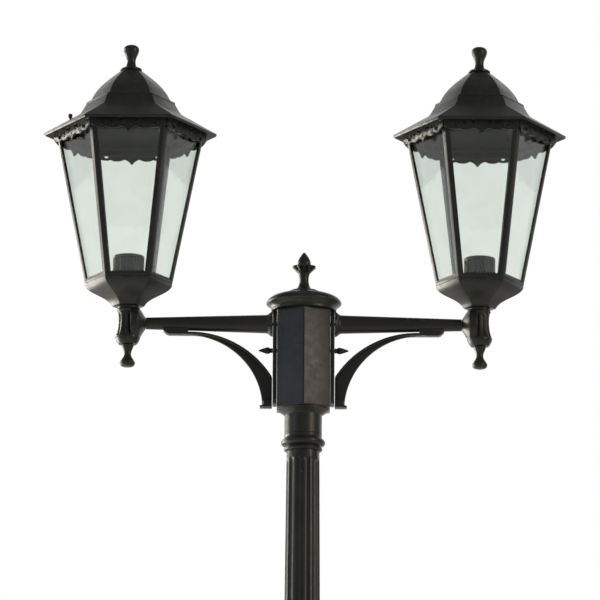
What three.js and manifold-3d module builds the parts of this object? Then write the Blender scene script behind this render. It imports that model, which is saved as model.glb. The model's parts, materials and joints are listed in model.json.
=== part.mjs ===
// Street lamp post: a fluted pole with two six-sided lanterns on bracketed arms.
// Units are millimetres, +Z is up, and the origin is on the ground under the centre of the pole.
import * as THREE from 'three';
import { mergeVertices } from 'three/addons/utils/BufferGeometryUtils.js';
import Module from 'manifold-3d';

const wasm = await Module();
wasm.setup();

// ---- Driving dimensions -------------------------------------------------------------------

const GAP = 0.3; // clearance between pieces that touch
const ROUND = 16; // sides of a small turned piece
const WIDE_ROUND = 20; // sides of a large one
const COS30 = Math.cos(Math.PI / 6);
const TAN30 = Math.tan(Math.PI / 6);

// Base and pole
const FLANGE_LEDGE = 38; // width of the flange outside the plinth
const FLANGE_THICK = 14;
const CABLE_HOLE_RADIUS = 22;
const ANCHOR_RADIUS = 5;
const ANCHOR_NUT_FLATS = 17;
const PEDESTAL_RADIUS = 92;
const PEDESTAL_NECK = 44;
const PEDESTAL_TOP = 410;
const PEDESTAL_WALL = 6;
const PLINTH_HEIGHT = 46;
const LOWER_RING_RADIUS = 41;
const LOWER_RING_HEIGHT = 24;
const POLE_FOOT_RADIUS = 30.7;
const POLE_HEAD_RADIUS = 20.7;
const POLE_FOOT_WALL = 7.7;
const POLE_HEAD_WALL = 5.2;
const POLE_TOP = 1718.7;
const POLE_BAND = 9; // plain band above and below the flutes
const BAND_PROUD = 0.3;
const FLUTES = 12;
const FLUTE_DEPTH = 0.1; // share of the radius
const SET_SCREW_DROP = 28; // below the top of the pole
const SET_SCREW_RADIUS = 2.5;

// Neck and head
const COLLAR_HEIGHT = 21;
const COLLAR_RADIUS = 28;
const NECK_RADIUS = 23.7;
const NECK_HEIGHT = 32.4;
const NECK_FLARE_RADIUS = 33;
const NECK_FLARE_HEIGHT = 7;
const SPIGOT_DEPTH = 60; // down inside the pole
const SPIGOT_WALL = 3.5;
const BOX_HEIGHT = 127;
const BOX_CORNER = 39;
const BOX_WALL = 4;
const BOX_FLOOR = 5;
const CAP_RADIUS = 47.8;
const CAP_HEIGHT = 24.6;
const CAP_LIP_DEPTH = 8;
const STUD_RADIUS = 3;
const TERMINAL_HEIGHT = 62;
const TERMINAL_HALF_WIDTH = 16;
const BRACKET_HALF_WIDTH = 11;
const CABLE_RADIUS = 4.5;
const CABLE_CLEARANCE = 1.2; // between the supply cable and the neck's bore

// Arms
const ARM_DROP = 16; // arm's centre line below the top of the head box
const LANTERN_REACH = 223; // lantern axis from the pole axis
const PLATE_WIDTH = 32;
const PLATE_THICK = 5;
const PLATE_RISE = 6; // foot of the plate above the bottom of the box
const KNOB_DROP = 50.4; // below the top of the head box
const KNOB_LENGTH = 18;
const KNOB_SHANK = 2.3;
const KNOB_SHANK_LENGTH = 13;
const ARM_ROOT_RADIUS = 11.75;
const ARM_END_RADIUS = 7.5;
const SOCKET_BOSS_REACH = 22.5; // end of the socket's side boss from the lantern axis
const LEAD_RADIUS = 2.4;
const LEAD_BEND = 20;
const LEAD_BORE = 4.2;
const LEAD_START = 8; // where each lead leaves the terminals, from the pole axis

// Brace under each arm
const BRACE_PAD_LENGTH = 28.8;
const BRACE_PAD_SETBACK = 22; // end of the pad from the end of the arm
const BRACE_WEB = 5;
const BRACE_FLANGE_WIDTH = 14;
const BRACE_FLANGE_THICK = 3.2;
const BRACE_PAD_THICK = 6;
const BRACE_FOOT_LENGTH = 11;
const BRACE_FOOT_HEIGHT = 8.4;
const BRACE_ROOT_HEIGHT = 38.7; // up the plate from the foot
const BRACE_TOP_SAG = 16.87; // how far the upper edge's arc stands off its chord
const BRACE_UNDER_SAG = 24.77;

// Lantern: radii of six-sided pieces are measured to their corners
const SOCKET_BELOW_ARM = 27.5;
const SOCKET_ABOVE_ARM = 21.3;
const DROP_LENGTH = 29;
const BOWL_HEIGHT = 29.9;
const BOWL_FLOOR_THICK = 15.9;
const CAGE_FOOT_CORNER = 55.8;
const CAGE_HEAD_CORNER = 95;
const CAGE_WALL = 2.6;
const CORNER_FLANGE = 8;
const TOP_RAIL = 16;
const BOTTOM_RAIL = 5;
const PANE_THICK = 3;
const PANE_LEDGE = 6; // width of the ledge that the panes stand on
const LEDGE_THICK = 2;
const PANE_HEAD_DROP = 6; // top of the panes below the top of the cage
const PANE_EDGE_GAP = 1.5;
const VALANCE_CLEARANCE = 0.5;
const VALANCE_WALL = 2.2;
const VALANCE_CORNER_DROP = 13.7;
const VALANCE_SCALLOP = 3;
const VALANCE_PENDANT = 8.2;
const VALANCE_PENDANT_WIDTH = 18;
const CUP_CLEARANCE = 1; // round the lampholder
const CUP_WALL = 2;
const CUP_HEIGHT = 49;
const LAMPHOLDER_RADIUS = 17;
const LAMPHOLDER_MOUTH = 13.2;
const LAMPHOLDER_DEPTH = 27;
const EAVE_OVERHANG = 15.7; // beyond the cage, at a corner
const EAVE_RISE = 197.4; // eave's tip above the rim of the bowl
const ROOF_WALL = 3;
const ROOF_HEIGHT = 82.8;
const ROOF_FINIAL_HEIGHT = 34;
const ROOF_SCREW_INSET = 18; // thumb screw inside the cage's head, at a corner
const ROOF_SCREW_RADIUS = 2.6;
const ROOF_SCREW_SHANK = 1.4;
const LEDGE_CORNER = 51; // foot of the roof's dome
const COLLAR_CORNER = 56.7; // outer edge of the step under the dome
const FLARE_CORNER = 65; // where the straight eave begins
const LEDGE_RISE = 42.5; // foot of the dome above the eave's tip
const FLARE_RISE = 25.6;

// Derived sizes and levels
const FLANGE_RADIUS = PEDESTAL_RADIUS + FLANGE_LEDGE;
const ANCHOR_CIRCLE = PEDESTAL_RADIUS + FLANGE_LEDGE / 2;
const BASE_TOP = FLANGE_THICK;
const PLINTH_BOTTOM = BASE_TOP + GAP;
const PLINTH_TOP = PLINTH_BOTTOM + PLINTH_HEIGHT;
const RING_BOTTOM = PEDESTAL_TOP + GAP;
const RING_TOP = RING_BOTTOM + LOWER_RING_HEIGHT;
const POLE_BOTTOM = RING_TOP + GAP;
const POLE_FOOT_BORE = POLE_FOOT_RADIUS - POLE_FOOT_WALL;
const POLE_HEAD_BORE = POLE_HEAD_RADIUS - POLE_HEAD_WALL;
const COLLAR_BOTTOM = POLE_TOP + GAP;
const COLLAR_TOP = COLLAR_BOTTOM + COLLAR_HEIGHT;
const NECK_BOTTOM = COLLAR_TOP + GAP;
const NECK_TOP = NECK_BOTTOM + NECK_HEIGHT;
const SPIGOT_RADIUS = POLE_HEAD_BORE - GAP;
const SPIGOT_BORE = SPIGOT_RADIUS - SPIGOT_WALL;
const CABLE_OFFSET = SPIGOT_BORE - CABLE_RADIUS - CABLE_CLEARANCE; // towards the back of the pole
const BOX_BOTTOM = NECK_TOP + GAP;
const BOX_TOP = BOX_BOTTOM + BOX_HEIGHT;
const BOX_FLAT = BOX_CORNER * COS30; // from the axis to a flat
const BOX_INNER_CORNER = BOX_CORNER - BOX_WALL / COS30;
const ARM_LEVEL = BOX_TOP - ARM_DROP;
const KNOB_LEVEL = BOX_TOP - KNOB_DROP;
const PLATE_BOTTOM = BOX_BOTTOM + PLATE_RISE;
const PLATE_FACE = BOX_FLAT + GAP + PLATE_THICK;
const ARM_FLARE_RADIUS = PLATE_WIDTH / 2;
const ARM_START = PLATE_FACE + GAP;
const ARM_END = LANTERN_REACH - SOCKET_BOSS_REACH - GAP;
const BRACE_PAD_END = ARM_END - BRACE_PAD_SETBACK;
const BRACE_PAD_START = BRACE_PAD_END - BRACE_PAD_LENGTH;
const TERMINAL_TOP = ARM_LEVEL - LEAD_BEND - 2;
const TERMINAL_BOTTOM = TERMINAL_TOP - TERMINAL_HEIGHT;
const SOCKET_BOTTOM = ARM_LEVEL - SOCKET_BELOW_ARM;
const SOCKET_TOP = ARM_LEVEL + SOCKET_ABOVE_ARM;
const BOWL_BOTTOM = SOCKET_TOP + GAP;
const BOWL_FLOOR = BOWL_BOTTOM + BOWL_FLOOR_THICK;
const BOWL_TOP = BOWL_BOTTOM + BOWL_HEIGHT;
const CAGE_FOOT = BOWL_TOP + GAP;
const CUP_RADIUS = LAMPHOLDER_RADIUS + CUP_CLEARANCE + CUP_WALL;
const CUP_BOTTOM = BOWL_FLOOR + GAP;
const CUP_TOP = CUP_BOTTOM + CUP_HEIGHT;
const LAMPHOLDER_BOTTOM = CUP_BOTTOM + CUP_WALL + GAP;
const LAMPHOLDER_TOP = CUP_TOP - 2;
const EAVE_CORNER = CAGE_HEAD_CORNER + EAVE_OVERHANG;
const EAVE_TIP = BOWL_TOP + EAVE_RISE;
const LEDGE_LEVEL = EAVE_TIP + LEDGE_RISE;
const FLARE_LEVEL = EAVE_TIP + FLARE_RISE;
const EAVE_SLOPE = FLARE_RISE / (EAVE_CORNER - FLARE_CORNER);
const ROOF_TOP = EAVE_TIP + ROOF_HEIGHT;
const LAMP_TOP = ROOF_TOP + GAP + ROOF_FINIAL_HEIGHT;
const ROOF_SCREW_CORNER = CAGE_HEAD_CORNER - ROOF_SCREW_INSET;
const ROOF_SCREW_SURFACE = EAVE_TIP + (EAVE_CORNER - ROOF_SCREW_CORNER) * EAVE_SLOPE;
const CAGE_TOP = eaveUndersideAt(CAGE_HEAD_CORNER) - GAP;
const VALANCE_TOP = eaveUndersideAt(CAGE_HEAD_CORNER + VALANCE_CLEARANCE + VALANCE_WALL * 1.2) - GAP;

// ---- Materials ----------------------------------------------------------------------------

function finish(color, roughness, metalness) {
  return new THREE.MeshStandardMaterial({ color, roughness, metalness });
}
const BLACK_PAINT = finish(0x2b2d2b, 0.42, 0.2);
const GLASS = finish(0xd9e6de, 0.05, 0);
const CERAMIC = finish(0xe9e6dd, 0.3, 0);
const STEEL = finish(0x9a9c9b, 0.35, 1);
const CABLE_SHEATH = finish(0x1b1b1c, 0.6, 0);
const LEAD_SHEATH = finish(0xdedbd2, 0.55, 0);
const TERMINAL_PLASTIC = finish(0xcfc9b8, 0.5, 0);

// ---- Geometry helpers ---------------------------------------------------------------------

const radians = THREE.MathUtils.degToRad;

// Keeps only positions, merges shared vertices and drops triangles that have no area.
function closed(geometry) {
  geometry.deleteAttribute('normal');
  geometry.deleteAttribute('uv');
  const merged = mergeVertices(geometry, 1e-4);
  const source = merged.index.array;
  const kept = [];
  for (let i = 0; i < source.length; i += 3) {
    const [a, b, c] = [source[i], source[i + 1], source[i + 2]];
    if (a !== b && b !== c && c !== a) {
      kept.push(a, b, c);
    }
  }
  merged.setIndex(kept);
  return merged;
}

// Spins a profile of [radius, height] points about +Z. The profile runs up its outer side and
// starts and ends on the axis, or closes on itself.
function turned(profile, sides = ROUND, cornerAngle = -90) {
  const points = profile.map(([radius, height]) => new THREE.Vector2(radius, height));
  const ringShaped = profile[0][0] > 0;
  if (ringShaped) {
    points.push(points[0].clone());
  }
  const geometry = new THREE.LatheGeometry(points, sides);
  geometry.rotateX(Math.PI / 2);
  geometry.rotateZ(radians(cornerAngle + 90));
  return closed(geometry);
}

// Six-sided turned pieces: a lantern has corners at +X and -X, the head box at +Y and -Y.
const lanternHex = (profile) => turned(profile, 6, 0);
const boxHex = (profile) => turned(profile, 6, 90);

function extruded(shape, depth, curveSegments = 8) {
  const options = { depth, bevelEnabled: false, curveSegments };
  return closed(new THREE.ExtrudeGeometry(shape, options));
}

// A plate drawn in the X-Z plane, centred on Y = 0.
function uprightPlate(shape, thickness, curveSegments = 8) {
  const geometry = extruded(shape, thickness, curveSegments);
  geometry.rotateX(Math.PI / 2);
  geometry.translate(0, thickness / 2, 0);
  return geometry;
}

// A round bar between two points, with a radius at each end.
function bar(start, end, startRadius, endRadius = startRadius, sides = 12) {
  const from = new THREE.Vector3(...start);
  const along = new THREE.Vector3(...end).sub(from);
  const profile = [[0, 0], [startRadius, 0], [endRadius, along.length()], [0, along.length()]];
  const geometry = turned(profile, sides);
  const up = new THREE.Vector3(0, 0, 1);
  geometry.applyQuaternion(new THREE.Quaternion().setFromUnitVectors(up, along.normalize()));
  geometry.translate(from.x, from.y, from.z);
  return geometry;
}

// A block between two opposite corners.
function block(low, high) {
  const size = low.map((value, i) => high[i] - value);
  const geometry = new THREE.BoxGeometry(...size);
  geometry.translate(...low.map((value, i) => value + size[i] / 2));
  return closed(geometry);
}

// A round tube along a curve.
function hose(curve, radius, steps, sides) {
  const section = new THREE.Shape();
  for (let i = 0; i < sides; i += 1) {
    const angle = (2 * Math.PI * i) / sides;
    const [x, y] = [radius * Math.cos(angle), radius * Math.sin(angle)];
    if (i === 0) {
      section.moveTo(x, y);
    } else {
      section.lineTo(x, y);
    }
  }
  const options = { extrudePath: curve, steps, bevelEnabled: false, curveSegments: 1 };
  return closed(new THREE.ExtrudeGeometry(section, options));
}

function solidOf(geometry) {
  const mesh = new wasm.Mesh({
    numProp: 3,
    vertProperties: new Float32Array(geometry.attributes.position.array),
    triVerts: new Uint32Array(geometry.index.array),
  });
  return new wasm.Manifold(mesh);
}

function geometryOf(solid) {
  const mesh = solid.getMesh();
  const geometry = new THREE.BufferGeometry();
  geometry.setAttribute('position', new THREE.BufferAttribute(mesh.vertProperties, 3));
  geometry.setIndex(new THREE.BufferAttribute(mesh.triVerts, 1));
  return geometry;
}

// Joins the first list of geometries and cuts the second list away.
function carved(joined, cut = []) {
  let solid = solidOf(joined[0]);
  for (const geometry of joined.slice(1)) {
    solid = solid.add(solidOf(geometry));
  }
  for (const geometry of cut) {
    solid = solid.subtract(solidOf(geometry));
  }
  return geometryOf(solid);
}

// Puts geometry drawn on a flat (x sideways, y up the slope, z outwards) on one side of a hexagon.
function onSide(geometry, angle, tilt, distance, height) {
  const [c, s] = [Math.cos(angle), Math.sin(angle)];
  const sideways = new THREE.Vector3(-s, c, 0);
  const upwards = new THREE.Vector3(c * Math.sin(tilt), s * Math.sin(tilt), Math.cos(tilt));
  const outwards = new THREE.Vector3().crossVectors(sideways, upwards);
  const place = new THREE.Matrix4().makeBasis(sideways, upwards, outwards);
  place.setPosition(distance * c, distance * s, height);
  return geometry.clone().applyMatrix4(place);
}

const SIDE_ANGLES = [30, 90, 150, 210, 270, 330].map(radians);

function trapezoid(bottomHalf, topHalf, bottom, top) {
  const shape = new THREE.Shape();
  shape.moveTo(-bottomHalf, bottom);
  shape.lineTo(bottomHalf, bottom);
  shape.lineTo(topHalf, top);
  shape.lineTo(-topHalf, top);
  shape.closePath();
  return shape;
}

// Points along a cubic curve, as [radius, height] pairs.
function curvePoints(a, b, c, d, count) {
  const corners = [a, b, c, d].map(([x, y]) => new THREE.Vector2(x, y));
  const curve = new THREE.CubicBezierCurve(...corners);
  return curve.getPoints(count).map((point) => [point.x, point.y]);
}

const model = new THREE.Group();

function addPiece(parent, name, geometry, material) {
  const mesh = new THREE.Mesh(geometry, material);
  mesh.name = name;
  parent.add(mesh);
  return mesh;
}

// ---- Base and pole ------------------------------------------------------------------------

function baseFlange() {
  const plate = turned([
    [CABLE_HOLE_RADIUS, 0], [FLANGE_RADIUS, 0], [FLANGE_RADIUS, BASE_TOP - 3],
    [FLANGE_RADIUS - 3, BASE_TOP], [CABLE_HOLE_RADIUS, BASE_TOP],
  ], 32);
  const holes = anchorPlaces().map(([x, y]) => (
    bar([x, y, -1], [x, y, BASE_TOP + 1], ANCHOR_RADIUS + GAP)
  ));
  return carved([plate], holes);
}

function anchorPlaces() {
  return [45, 135, 225, 315].map((degrees) => {
    const angle = radians(degrees);
    return [ANCHOR_CIRCLE * Math.cos(angle), ANCHOR_CIRCLE * Math.sin(angle)];
  });
}

// A stud that comes up through the flange, with a washer, a nut and a short end above it.
function anchorBolt([x, y]) {
  const washerBottom = BASE_TOP + GAP;
  const washerTop = washerBottom + 2;
  const nutTop = washerTop + 8;
  const stud = bar([0, 0, 0.5], [0, 0, nutTop + 6], ANCHOR_RADIUS);
  const washer = bar([0, 0, washerBottom], [0, 0, washerTop], ANCHOR_RADIUS * 2, ANCHOR_RADIUS * 2, 16);
  const nutCorner = ANCHOR_NUT_FLATS / 2 / COS30;
  const nut = bar([0, 0, washerTop - 0.1], [0, 0, nutTop], nutCorner, nutCorner, 6);
  return carved([stud, washer, nut]).translate(x, y, 0);
}

// A plain drum that stands on the flange and holds the cable joints.
function plinth() {
  return turned([
    [PEDESTAL_RADIUS - PEDESTAL_WALL, PLINTH_BOTTOM],
    [PEDESTAL_RADIUS, PLINTH_BOTTOM],
    [PEDESTAL_RADIUS, PLINTH_TOP],
    [PEDESTAL_RADIUS - PEDESTAL_WALL, PLINTH_TOP],
  ], WIDE_ROUND);
}

// A bell-shaped casting on the plinth: a round moulding, a long hollow curve and a neck.
function pedestal() {
  const bottom = PLINTH_TOP + GAP;
  const neck = PEDESTAL_NECK - 4;
  const bell = curvePoints(
    [PEDESTAL_RADIUS - 12, bottom + 16], [PEDESTAL_NECK + 10, bottom + 40],
    [PEDESTAL_NECK, bottom + 120], [neck, PEDESTAL_TOP - 40], 6,
  );
  const hollow = bell.slice(0, -1).map(([radius, height]) => [radius - PEDESTAL_WALL, height - 4]);
  return turned([
    [PEDESTAL_RADIUS - PEDESTAL_WALL, bottom],
    [PEDESTAL_RADIUS, bottom],
    [PEDESTAL_RADIUS - 3, bottom + 5],
    [PEDESTAL_RADIUS - 8, bottom + 12],
    ...bell,
    [PEDESTAL_NECK, PEDESTAL_TOP - 34],
    [PEDESTAL_NECK + 2, PEDESTAL_TOP - 29],
    [PEDESTAL_NECK, PEDESTAL_TOP - 24],
    [neck, PEDESTAL_TOP - 18],
    [neck, PEDESTAL_TOP],
    [POLE_FOOT_RADIUS, PEDESTAL_TOP],
    [neck - PEDESTAL_WALL, PEDESTAL_TOP - 44],
    ...hollow.reverse(),
  ], WIDE_ROUND);
}

function lowerRing() {
  const middle = (RING_BOTTOM + RING_TOP) / 2;
  return turned([
    [POLE_FOOT_BORE, RING_BOTTOM],
    [LOWER_RING_RADIUS - 4, RING_BOTTOM],
    [LOWER_RING_RADIUS, middle - 6],
    [LOWER_RING_RADIUS, middle + 1],
    [LOWER_RING_RADIUS - 5, middle + 5],
    [LOWER_RING_RADIUS - 5, RING_TOP - 3],
    [LOWER_RING_RADIUS - 8, RING_TOP],
    [POLE_FOOT_BORE, RING_TOP],
  ], WIDE_ROUND);
}

// The outline of the flutes for a radius of 1: a hollow arc between each pair of narrow lands.
function fluteOutline() {
  const shape = new THREE.Shape();
  const pitch = (2 * Math.PI) / FLUTES;
  const land = pitch * 0.14;
  const steps = 4; // straight pieces in one flute
  for (let flute = 0; flute < FLUTES; flute += 1) {
    const start = flute * pitch + land / 2;
    for (let i = 0; i <= steps; i += 1) {
      const angle = start + ((pitch - land) * i) / steps;
      const radius = 1 - FLUTE_DEPTH * Math.sin((Math.PI * i) / steps);
      const [x, y] = [radius * Math.cos(angle), radius * Math.sin(angle)];
      if (flute === 0 && i === 0) {
        shape.moveTo(x, y);
      } else {
        shape.lineTo(x, y);
      }
    }
  }
  shape.closePath();
  return shape;
}

function poleRadiusAt(height) {
  const share = (height - POLE_BOTTOM) / (POLE_TOP - POLE_BOTTOM);
  return POLE_FOOT_RADIUS + (POLE_HEAD_RADIUS - POLE_FOOT_RADIUS) * share;
}

// Widens a prism of unit radius to the pole's radius at each height.
function tapered(geometry) {
  const position = geometry.attributes.position;
  for (let i = 0; i < position.count; i += 1) {
    const radius = poleRadiusAt(position.getZ(i));
    position.setX(i, position.getX(i) * radius);
    position.setY(i, position.getY(i) * radius);
  }
  return geometry;
}

function flutedPole() {
  const height = POLE_TOP - POLE_BOTTOM;
  const fluted = tapered(extruded(fluteOutline(), height).translate(0, 0, POLE_BOTTOM));
  const band = (bottom, top) => bar(
    [0, 0, bottom], [0, 0, top], poleRadiusAt(bottom) + BAND_PROUD, poleRadiusAt(top) + BAND_PROUD, 36,
  );
  const foot = band(POLE_BOTTOM, POLE_BOTTOM + POLE_BAND * 2);
  const head = band(POLE_TOP - POLE_BAND, POLE_TOP);
  const bore = turned([
    [0, POLE_BOTTOM - 1], [POLE_FOOT_BORE, POLE_BOTTOM - 1],
    [POLE_HEAD_BORE, POLE_TOP + 1], [0, POLE_TOP + 1],
  ], WIDE_ROUND);
  const level = POLE_TOP - SET_SCREW_DROP;
  const screwHole = bar([0, 0, level], [0, -POLE_HEAD_RADIUS * 2, level], SET_SCREW_RADIUS + GAP);
  return carved([fluted, foot, head], [bore, screwHole]);
}

function poleSetScrew() {
  const level = POLE_TOP - SET_SCREW_DROP;
  const outside = POLE_HEAD_RADIUS + 1.2;
  return carved(
    [bar([0, -SPIGOT_RADIUS - GAP, level], [0, -outside, level], SET_SCREW_RADIUS)],
    [bar([0, -outside + 2.5, level], [0, -outside - 1, level], 1.3, 1.3, 6)],
  );
}

function poleCollar() {
  const bore = SPIGOT_RADIUS + GAP;
  return turned([
    [bore, COLLAR_BOTTOM],
    [POLE_HEAD_RADIUS + 1.5, COLLAR_BOTTOM],
    [NECK_RADIUS, COLLAR_BOTTOM + 1.5],
    [NECK_RADIUS + 0.5, COLLAR_BOTTOM + 4],
    [NECK_RADIUS - 1, COLLAR_BOTTOM + 6],
    [COLLAR_RADIUS - 1.5, COLLAR_BOTTOM + 8],
    [COLLAR_RADIUS, COLLAR_BOTTOM + 11],
    [COLLAR_RADIUS - 1, COLLAR_BOTTOM + 14],
    [NECK_RADIUS + 1, COLLAR_BOTTOM + 17],
    [NECK_RADIUS, COLLAR_TOP],
    [bore, COLLAR_TOP],
  ], WIDE_ROUND);
}

// The plain sleeve, its flared top under the head box, and the spigot that goes down the pole.
function neckSleeve() {
  return turned([
    [SPIGOT_BORE, POLE_TOP - SPIGOT_DEPTH],
    [SPIGOT_RADIUS, POLE_TOP - SPIGOT_DEPTH],
    [SPIGOT_RADIUS, NECK_BOTTOM],
    [NECK_RADIUS, NECK_BOTTOM],
    [NECK_RADIUS, NECK_TOP - NECK_FLARE_HEIGHT],
    [NECK_FLARE_RADIUS, NECK_TOP],
    [SPIGOT_BORE, NECK_TOP],
  ], WIDE_ROUND);
}

function addPost() {
  addPiece(model, 'base_flange', baseFlange(), BLACK_PAINT);
  anchorPlaces().forEach((place, i) => {
    addPiece(model, `anchor_bolt_${i + 1}`, anchorBolt(place), STEEL);
  });
  addPiece(model, 'plinth', plinth(), BLACK_PAINT);
  addPiece(model, 'pedestal', pedestal(), BLACK_PAINT);
  addPiece(model, 'lower_ring', lowerRing(), BLACK_PAINT);
  addPiece(model, 'fluted_pole', flutedPole(), BLACK_PAINT);
  addPiece(model, 'pole_set_screw', poleSetScrew(), BLACK_PAINT);
  addPiece(model, 'pole_collar', poleCollar(), BLACK_PAINT);
  addPiece(model, 'neck_sleeve', neckSleeve(), BLACK_PAINT);
}

// ---- Head box, cap and wiring -------------------------------------------------------------

const SIDE_SIGNS = { left: -1, right: 1 };

function headBox() {
  const body = boxHex([
    [SPIGOT_BORE, BOX_BOTTOM], [BOX_CORNER, BOX_BOTTOM], [BOX_CORNER, BOX_TOP], [BOX_INNER_CORNER, BOX_TOP],
    [BOX_INNER_CORNER, BOX_BOTTOM + BOX_FLOOR], [SPIGOT_BORE, BOX_BOTTOM + BOX_FLOOR],
  ]);
  const through = BOX_CORNER + 5;
  const leadHole = bar([-through, 0, ARM_LEVEL], [through, 0, ARM_LEVEL], LEAD_BORE);
  const knobHole = bar([-through, 0, KNOB_LEVEL], [through, 0, KNOB_LEVEL], KNOB_SHANK + GAP);
  return carved([body], [leadHole, knobHole]);
}

// A round cap with a hollow under its rim and a lip that drops inside the box.
function headCap() {
  const seat = BOX_TOP + GAP;
  const top = seat + CAP_HEIGHT;
  const lip = BOX_FLAT - BOX_WALL - GAP;
  const dome = curvePoints(
    [CAP_RADIUS, seat + 13], [CAP_RADIUS - 3, top - 6.1],
    [CAP_RADIUS - 14, top - 3.1], [19.5, top], 5,
  );
  return turned([
    [lip - 3, seat - CAP_LIP_DEPTH],
    [lip, seat - CAP_LIP_DEPTH],
    [lip, seat],
    [CAP_RADIUS - 6.5, seat],
    [CAP_RADIUS - 6.5, seat + 3],
    [CAP_RADIUS - 2, seat + 8],
    [CAP_RADIUS, seat + 10],
    ...dome,
    [STUD_RADIUS + GAP, top],
    [STUD_RADIUS + GAP, top - 5],
    [19, top - 5],
    [lip - 3, seat + 14],
  ], WIDE_ROUND);
}

// Base moulding, waisted stem, thin leaf plate and an acorn, with a stud below.
function capFinial() {
  const seat = BOX_TOP + GAP + CAP_HEIGHT + GAP;
  return turned([
    [0, seat - 10],
    [STUD_RADIUS, seat - 10],
    [STUD_RADIUS, seat],
    [19, seat],
    [15, seat + 2.6],
    [7.8, seat + 6.6],
    [6, seat + 13],
    [5.9, seat + 20],
    [8.5, seat + 27],
    [15.2, seat + 32],
    [15.6, seat + 34],
    [8.6, seat + 36.5],
    [8.1, seat + 40],
    [5.2, seat + 47],
    [0, seat + 52.7],
  ], 16);
}

// An angle bracket behind the terminals, its foot on the floor of the box.
function terminalBracket() {
  const floor = BOX_BOTTOM + BOX_FLOOR + GAP;
  const front = 12;
  const back = BOX_INNER_CORNER - BRACKET_HALF_WIDTH * TAN30 - 5;
  return carved([
    block([-BRACKET_HALF_WIDTH, front, floor], [BRACKET_HALF_WIDTH, front + 2, TERMINAL_TOP + 4]),
    block([-BRACKET_HALF_WIDTH, front, floor], [BRACKET_HALF_WIDTH, back, floor + 2]),
  ]);
}

// A moulded block with a way in at the top for each lead.
function terminalBlock() {
  const wireWay = (x) => bar([x, 0, TERMINAL_TOP - 6], [x, 0, TERMINAL_TOP + 1], LEAD_RADIUS + 0.6);
  const body = block(
    [-TERMINAL_HALF_WIDTH, -10, TERMINAL_BOTTOM], [TERMINAL_HALF_WIDTH, 12 - GAP, TERMINAL_TOP],
  );
  return carved([body], [wireWay(-LEAD_START), wireWay(LEAD_START)]);
}

function supplyCable() {
  const [bottom, top] = [2, TERMINAL_BOTTOM - GAP];
  return bar([0, CABLE_OFFSET, bottom], [0, CABLE_OFFSET, top], CABLE_RADIUS, CABLE_RADIUS, 10);
}

function addHead() {
  const top = new THREE.Group();
  model.add(top);
  addPiece(top, 'head_box', headBox(), BLACK_PAINT);
  addPiece(top, 'head_cap', headCap(), BLACK_PAINT);
  addPiece(top, 'cap_finial', capFinial(), BLACK_PAINT);
  addPiece(top, 'terminal_bracket', terminalBracket(), STEEL);
  addPiece(top, 'terminal_block', terminalBlock(), TERMINAL_PLASTIC);
  addPiece(top, 'supply_cable', supplyCable(), CABLE_SHEATH);
}

// ---- Arms ---------------------------------------------------------------------------------

function armPlate() {
  const half = PLATE_WIDTH / 2;
  const plate = block([BOX_FLAT + GAP, -half, PLATE_BOTTOM], [PLATE_FACE, half, BOX_TOP]);
  const [from, to] = [BOX_FLAT - 1, PLATE_FACE + 1];
  return carved([plate], [
    bar([from, 0, ARM_LEVEL], [to, 0, ARM_LEVEL], LEAD_BORE),
    bar([from, 0, KNOB_LEVEL], [to, 0, KNOB_LEVEL], KNOB_SHANK + GAP),
  ]);
}

// A cone-shaped nut on a shank that runs into the box.
function armKnob() {
  const geometry = turned([
    [0, -KNOB_SHANK_LENGTH],
    [KNOB_SHANK, -KNOB_SHANK_LENGTH],
    [KNOB_SHANK, 0],
    [3, 0],
    [4.3, 4],
    [4, 7],
    [2.2, 13],
    [0, KNOB_LENGTH],
  ], 12);
  return geometry.rotateY(Math.PI / 2).translate(ARM_START, 0, KNOB_LEVEL);
}

// The arm's outline, made wider by an extra clearance when it cuts a seat in the brace.
function armBody(extra) {
  const length = ARM_END - ARM_START;
  const geometry = turned([
    [0, 0],
    [ARM_FLARE_RADIUS + extra, 0],
    [ARM_FLARE_RADIUS - 1.5 + extra, 2.5],
    [ARM_ROOT_RADIUS + extra, 8],
    [ARM_END_RADIUS + extra, length],
    [0, length],
  ], 16);
  return geometry.rotateY(Math.PI / 2).translate(ARM_START, 0, ARM_LEVEL);
}

function arm() {
  const bore = bar([ARM_START - 1, 0, ARM_LEVEL], [ARM_END + 1, 0, ARM_LEVEL], LEAD_BORE);
  return carved([armBody(0)], [bore]);
}

// Centre of the circle through two points whose arc stands a given distance off its chord. The
// centre is on the right of the way from a to b.
function circleCentre(a, b, sag) {
  const chord = new THREE.Vector2().subVectors(b, a);
  const half = chord.length() / 2;
  const rise = (half * half - sag * sag) / (2 * sag);
  const right = new THREE.Vector2(chord.y, -chord.x).normalize();
  return new THREE.Vector2().addVectors(a, b).multiplyScalar(0.5).addScaledVector(right, rise);
}

// Adds the arc of that circle from a to b, clockwise or not, to an outline.
function arcBetween(shape, a, b, centre, clockwise) {
  const angleOf = (point) => Math.atan2(point.y - centre.y, point.x - centre.x);
  shape.absarc(centre.x, centre.y, a.distanceTo(centre), angleOf(a), angleOf(b), clockwise);
}

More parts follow.
